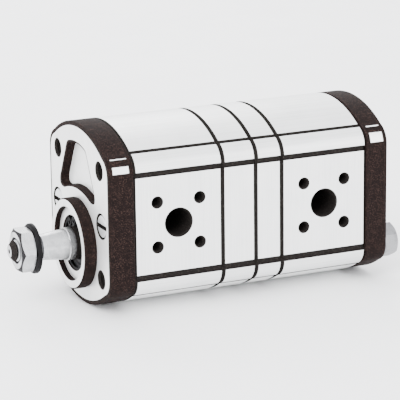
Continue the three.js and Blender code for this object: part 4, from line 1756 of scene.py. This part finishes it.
    def build(self, housing: Housing) -> None:
        """Four tie bolts and two screws."""
        for i, (y, z) in enumerate(corners(housing.bolt_offset)):
            make = self.socket_bolt if i % 2 == 0 else self.hex_bolt
            make(f"tie_bolt_{i + 1}", y, z)
        for i, side in enumerate((-1, 1)):
            self.slotted_screw(f"slotted_screw_{i + 1}", side, housing.screw_offset)


# ---------------------------------------------------------------- CAD nodes that stay


@dataclass
class InnerParts:
    """The sealed inner parts, which keep their CAD shape and get their finish here."""

    finishes: dict[Slot, Finish] = field(
        default_factory=lambda: {
            Slot.BLOCK: BLOCK_ALLOY,
            Slot.STEEL: STEEL,
            Slot.BLACK: BLACK_STEEL,
            Slot.BRONZE: BRONZE,
            Slot.RUBBER: RUBBER,
            Slot.STRIP: PLASTIC,
            Slot.BODY: DRAWN,
            Slot.CAST_IRON: CAST,
        }
    )

    def build(self) -> None:
        """Gives each CAD node the finish of its slot."""
        for part in frame["record"]["subparts"]:
            node = frame["nodes"][part["node"]]
            material = PAINTS.get(self.finishes[Slot(part["material_slot"])])
            if not node.material_slots:
                node.data.materials.append(material)
            for slot in node.material_slots:
                slot.material = material
            LOG.info("%s: %s", part["node"], material.name)


# ---------------------------------------------------------------- studio


@dataclass
class Studio:
    """Camera, soft lights and the pale floor."""

    azimuth: float = math.radians(-24.49)
    elevation: float = math.radians(15.06)
    roll: float = math.radians(-0.7)
    distance: float = 1.24024
    lens: float = 200.7
    target: Sequence[float] = (0.07206, 0.0, 0.01475)
    lit: Sequence[float] = (0.07, 0.0, 0.02)
    floor_size: float = 8.0
    sky: Colour = (0.96, 0.97, 1.0)
    sky_strength: float = 3.0

    def build_camera(self) -> None:
        """A long lens on the pump from its front left, a little above."""
        cos = math.cos(self.elevation)
        back = Vector((math.sin(self.azimuth) * cos, -math.cos(self.azimuth) * cos, math.sin(self.elevation)))
        right = (-back).cross(Vector((0, 0, 1))).normalized()
        up = right.cross(-back)
        cos, sin = math.cos(self.roll), math.sin(self.roll)
        rolled_right = right * cos + up * sin
        rolled_up = up * cos - right * sin
        data = bpy.data.cameras.new("camera")
        data.lens = self.lens
        data.clip_end = 20
        camera = bpy.data.objects.new("camera", data)
        turn = Matrix((rolled_right, rolled_up, back)).transposed()
        camera.matrix_world = Matrix.Translation(Vector(self.target) + back * self.distance) @ turn.to_4x4()
        bpy.context.scene.collection.objects.link(camera)
        bpy.context.scene.camera = camera

    def add_light(self, name: str, place: Sequence[float], size: float, watts: float) -> None:
        """Adds a square soft light that faces the pump.

        Args:
            name: name of the light.
            place: where it hangs, in metres.
            size: its width in metres.
            watts: its power.
        """
        data = bpy.data.lights.new(name, "AREA")
        data.size = size
        data.energy = watts
        light = bpy.data.objects.new(name, data)
        light.location = place
        away = Vector(self.lit) - Vector(place)
        light.rotation_euler = away.to_track_quat("-Z", "Y").to_euler()
        bpy.context.scene.collection.objects.link(light)

    def build_floor(self, lowest: float) -> None:
        """A large pale floor just under the pump."""
        deselect_all()
        bpy.ops.mesh.primitive_plane_add(size=self.floor_size, location=(0, 0, lowest))
        floor = bpy.context.active_object
        floor.name = "floor"
        graph = Graph("floor_pale")
        tone = graph.noise(60.0).between(0.4, 0.7)
        colour = graph.mix(tone, (0.97, 0.97, 0.97), (0.95, 0.95, 0.95))
        paint = graph.finish(Base_Color=colour, Roughness=0.75)
        floor.data.materials.append(paint)
        apply_place(floor)
        floor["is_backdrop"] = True

    def build(self, lowest: float) -> None:
        """Everything round the pump."""
        self.build_camera()
        self.build_floor(lowest)
        self.add_light("key", (-0.7, -0.9, 1.1), 0.7, 22)
        self.add_light("fill", (0.9, -1.2, 0.5), 1.0, 14)
        self.add_light("back", (0.3, 1.1, 0.9), 0.8, 16)
        self.add_light("front", (-1.3, 0.1, 0.4), 0.6, 9)
        world = bpy.data.worlds.new("studio")
        world.use_nodes = True
        background = world.node_tree.nodes["Background"]
        background.inputs["Color"].default_value = (*self.sky, 1)
        background.inputs["Strength"].default_value = self.sky_strength
        bpy.context.scene.world = world


def main() -> None:
    logging.basicConfig(level=logging.INFO, format="%(name)s %(message)s")
    cad_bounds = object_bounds()
    Studio().build(cad_bounds[0].z)
    InnerParts().build()
    housing = Housing()
    housing.build()
    FrontCover().build(housing)
    RearCover().build(housing)
    DriveShaft().build()
    ShaftNut().build()
    SealPocket().build()
    Fasteners().build(housing)


if __name__ == "__main__":
    main()
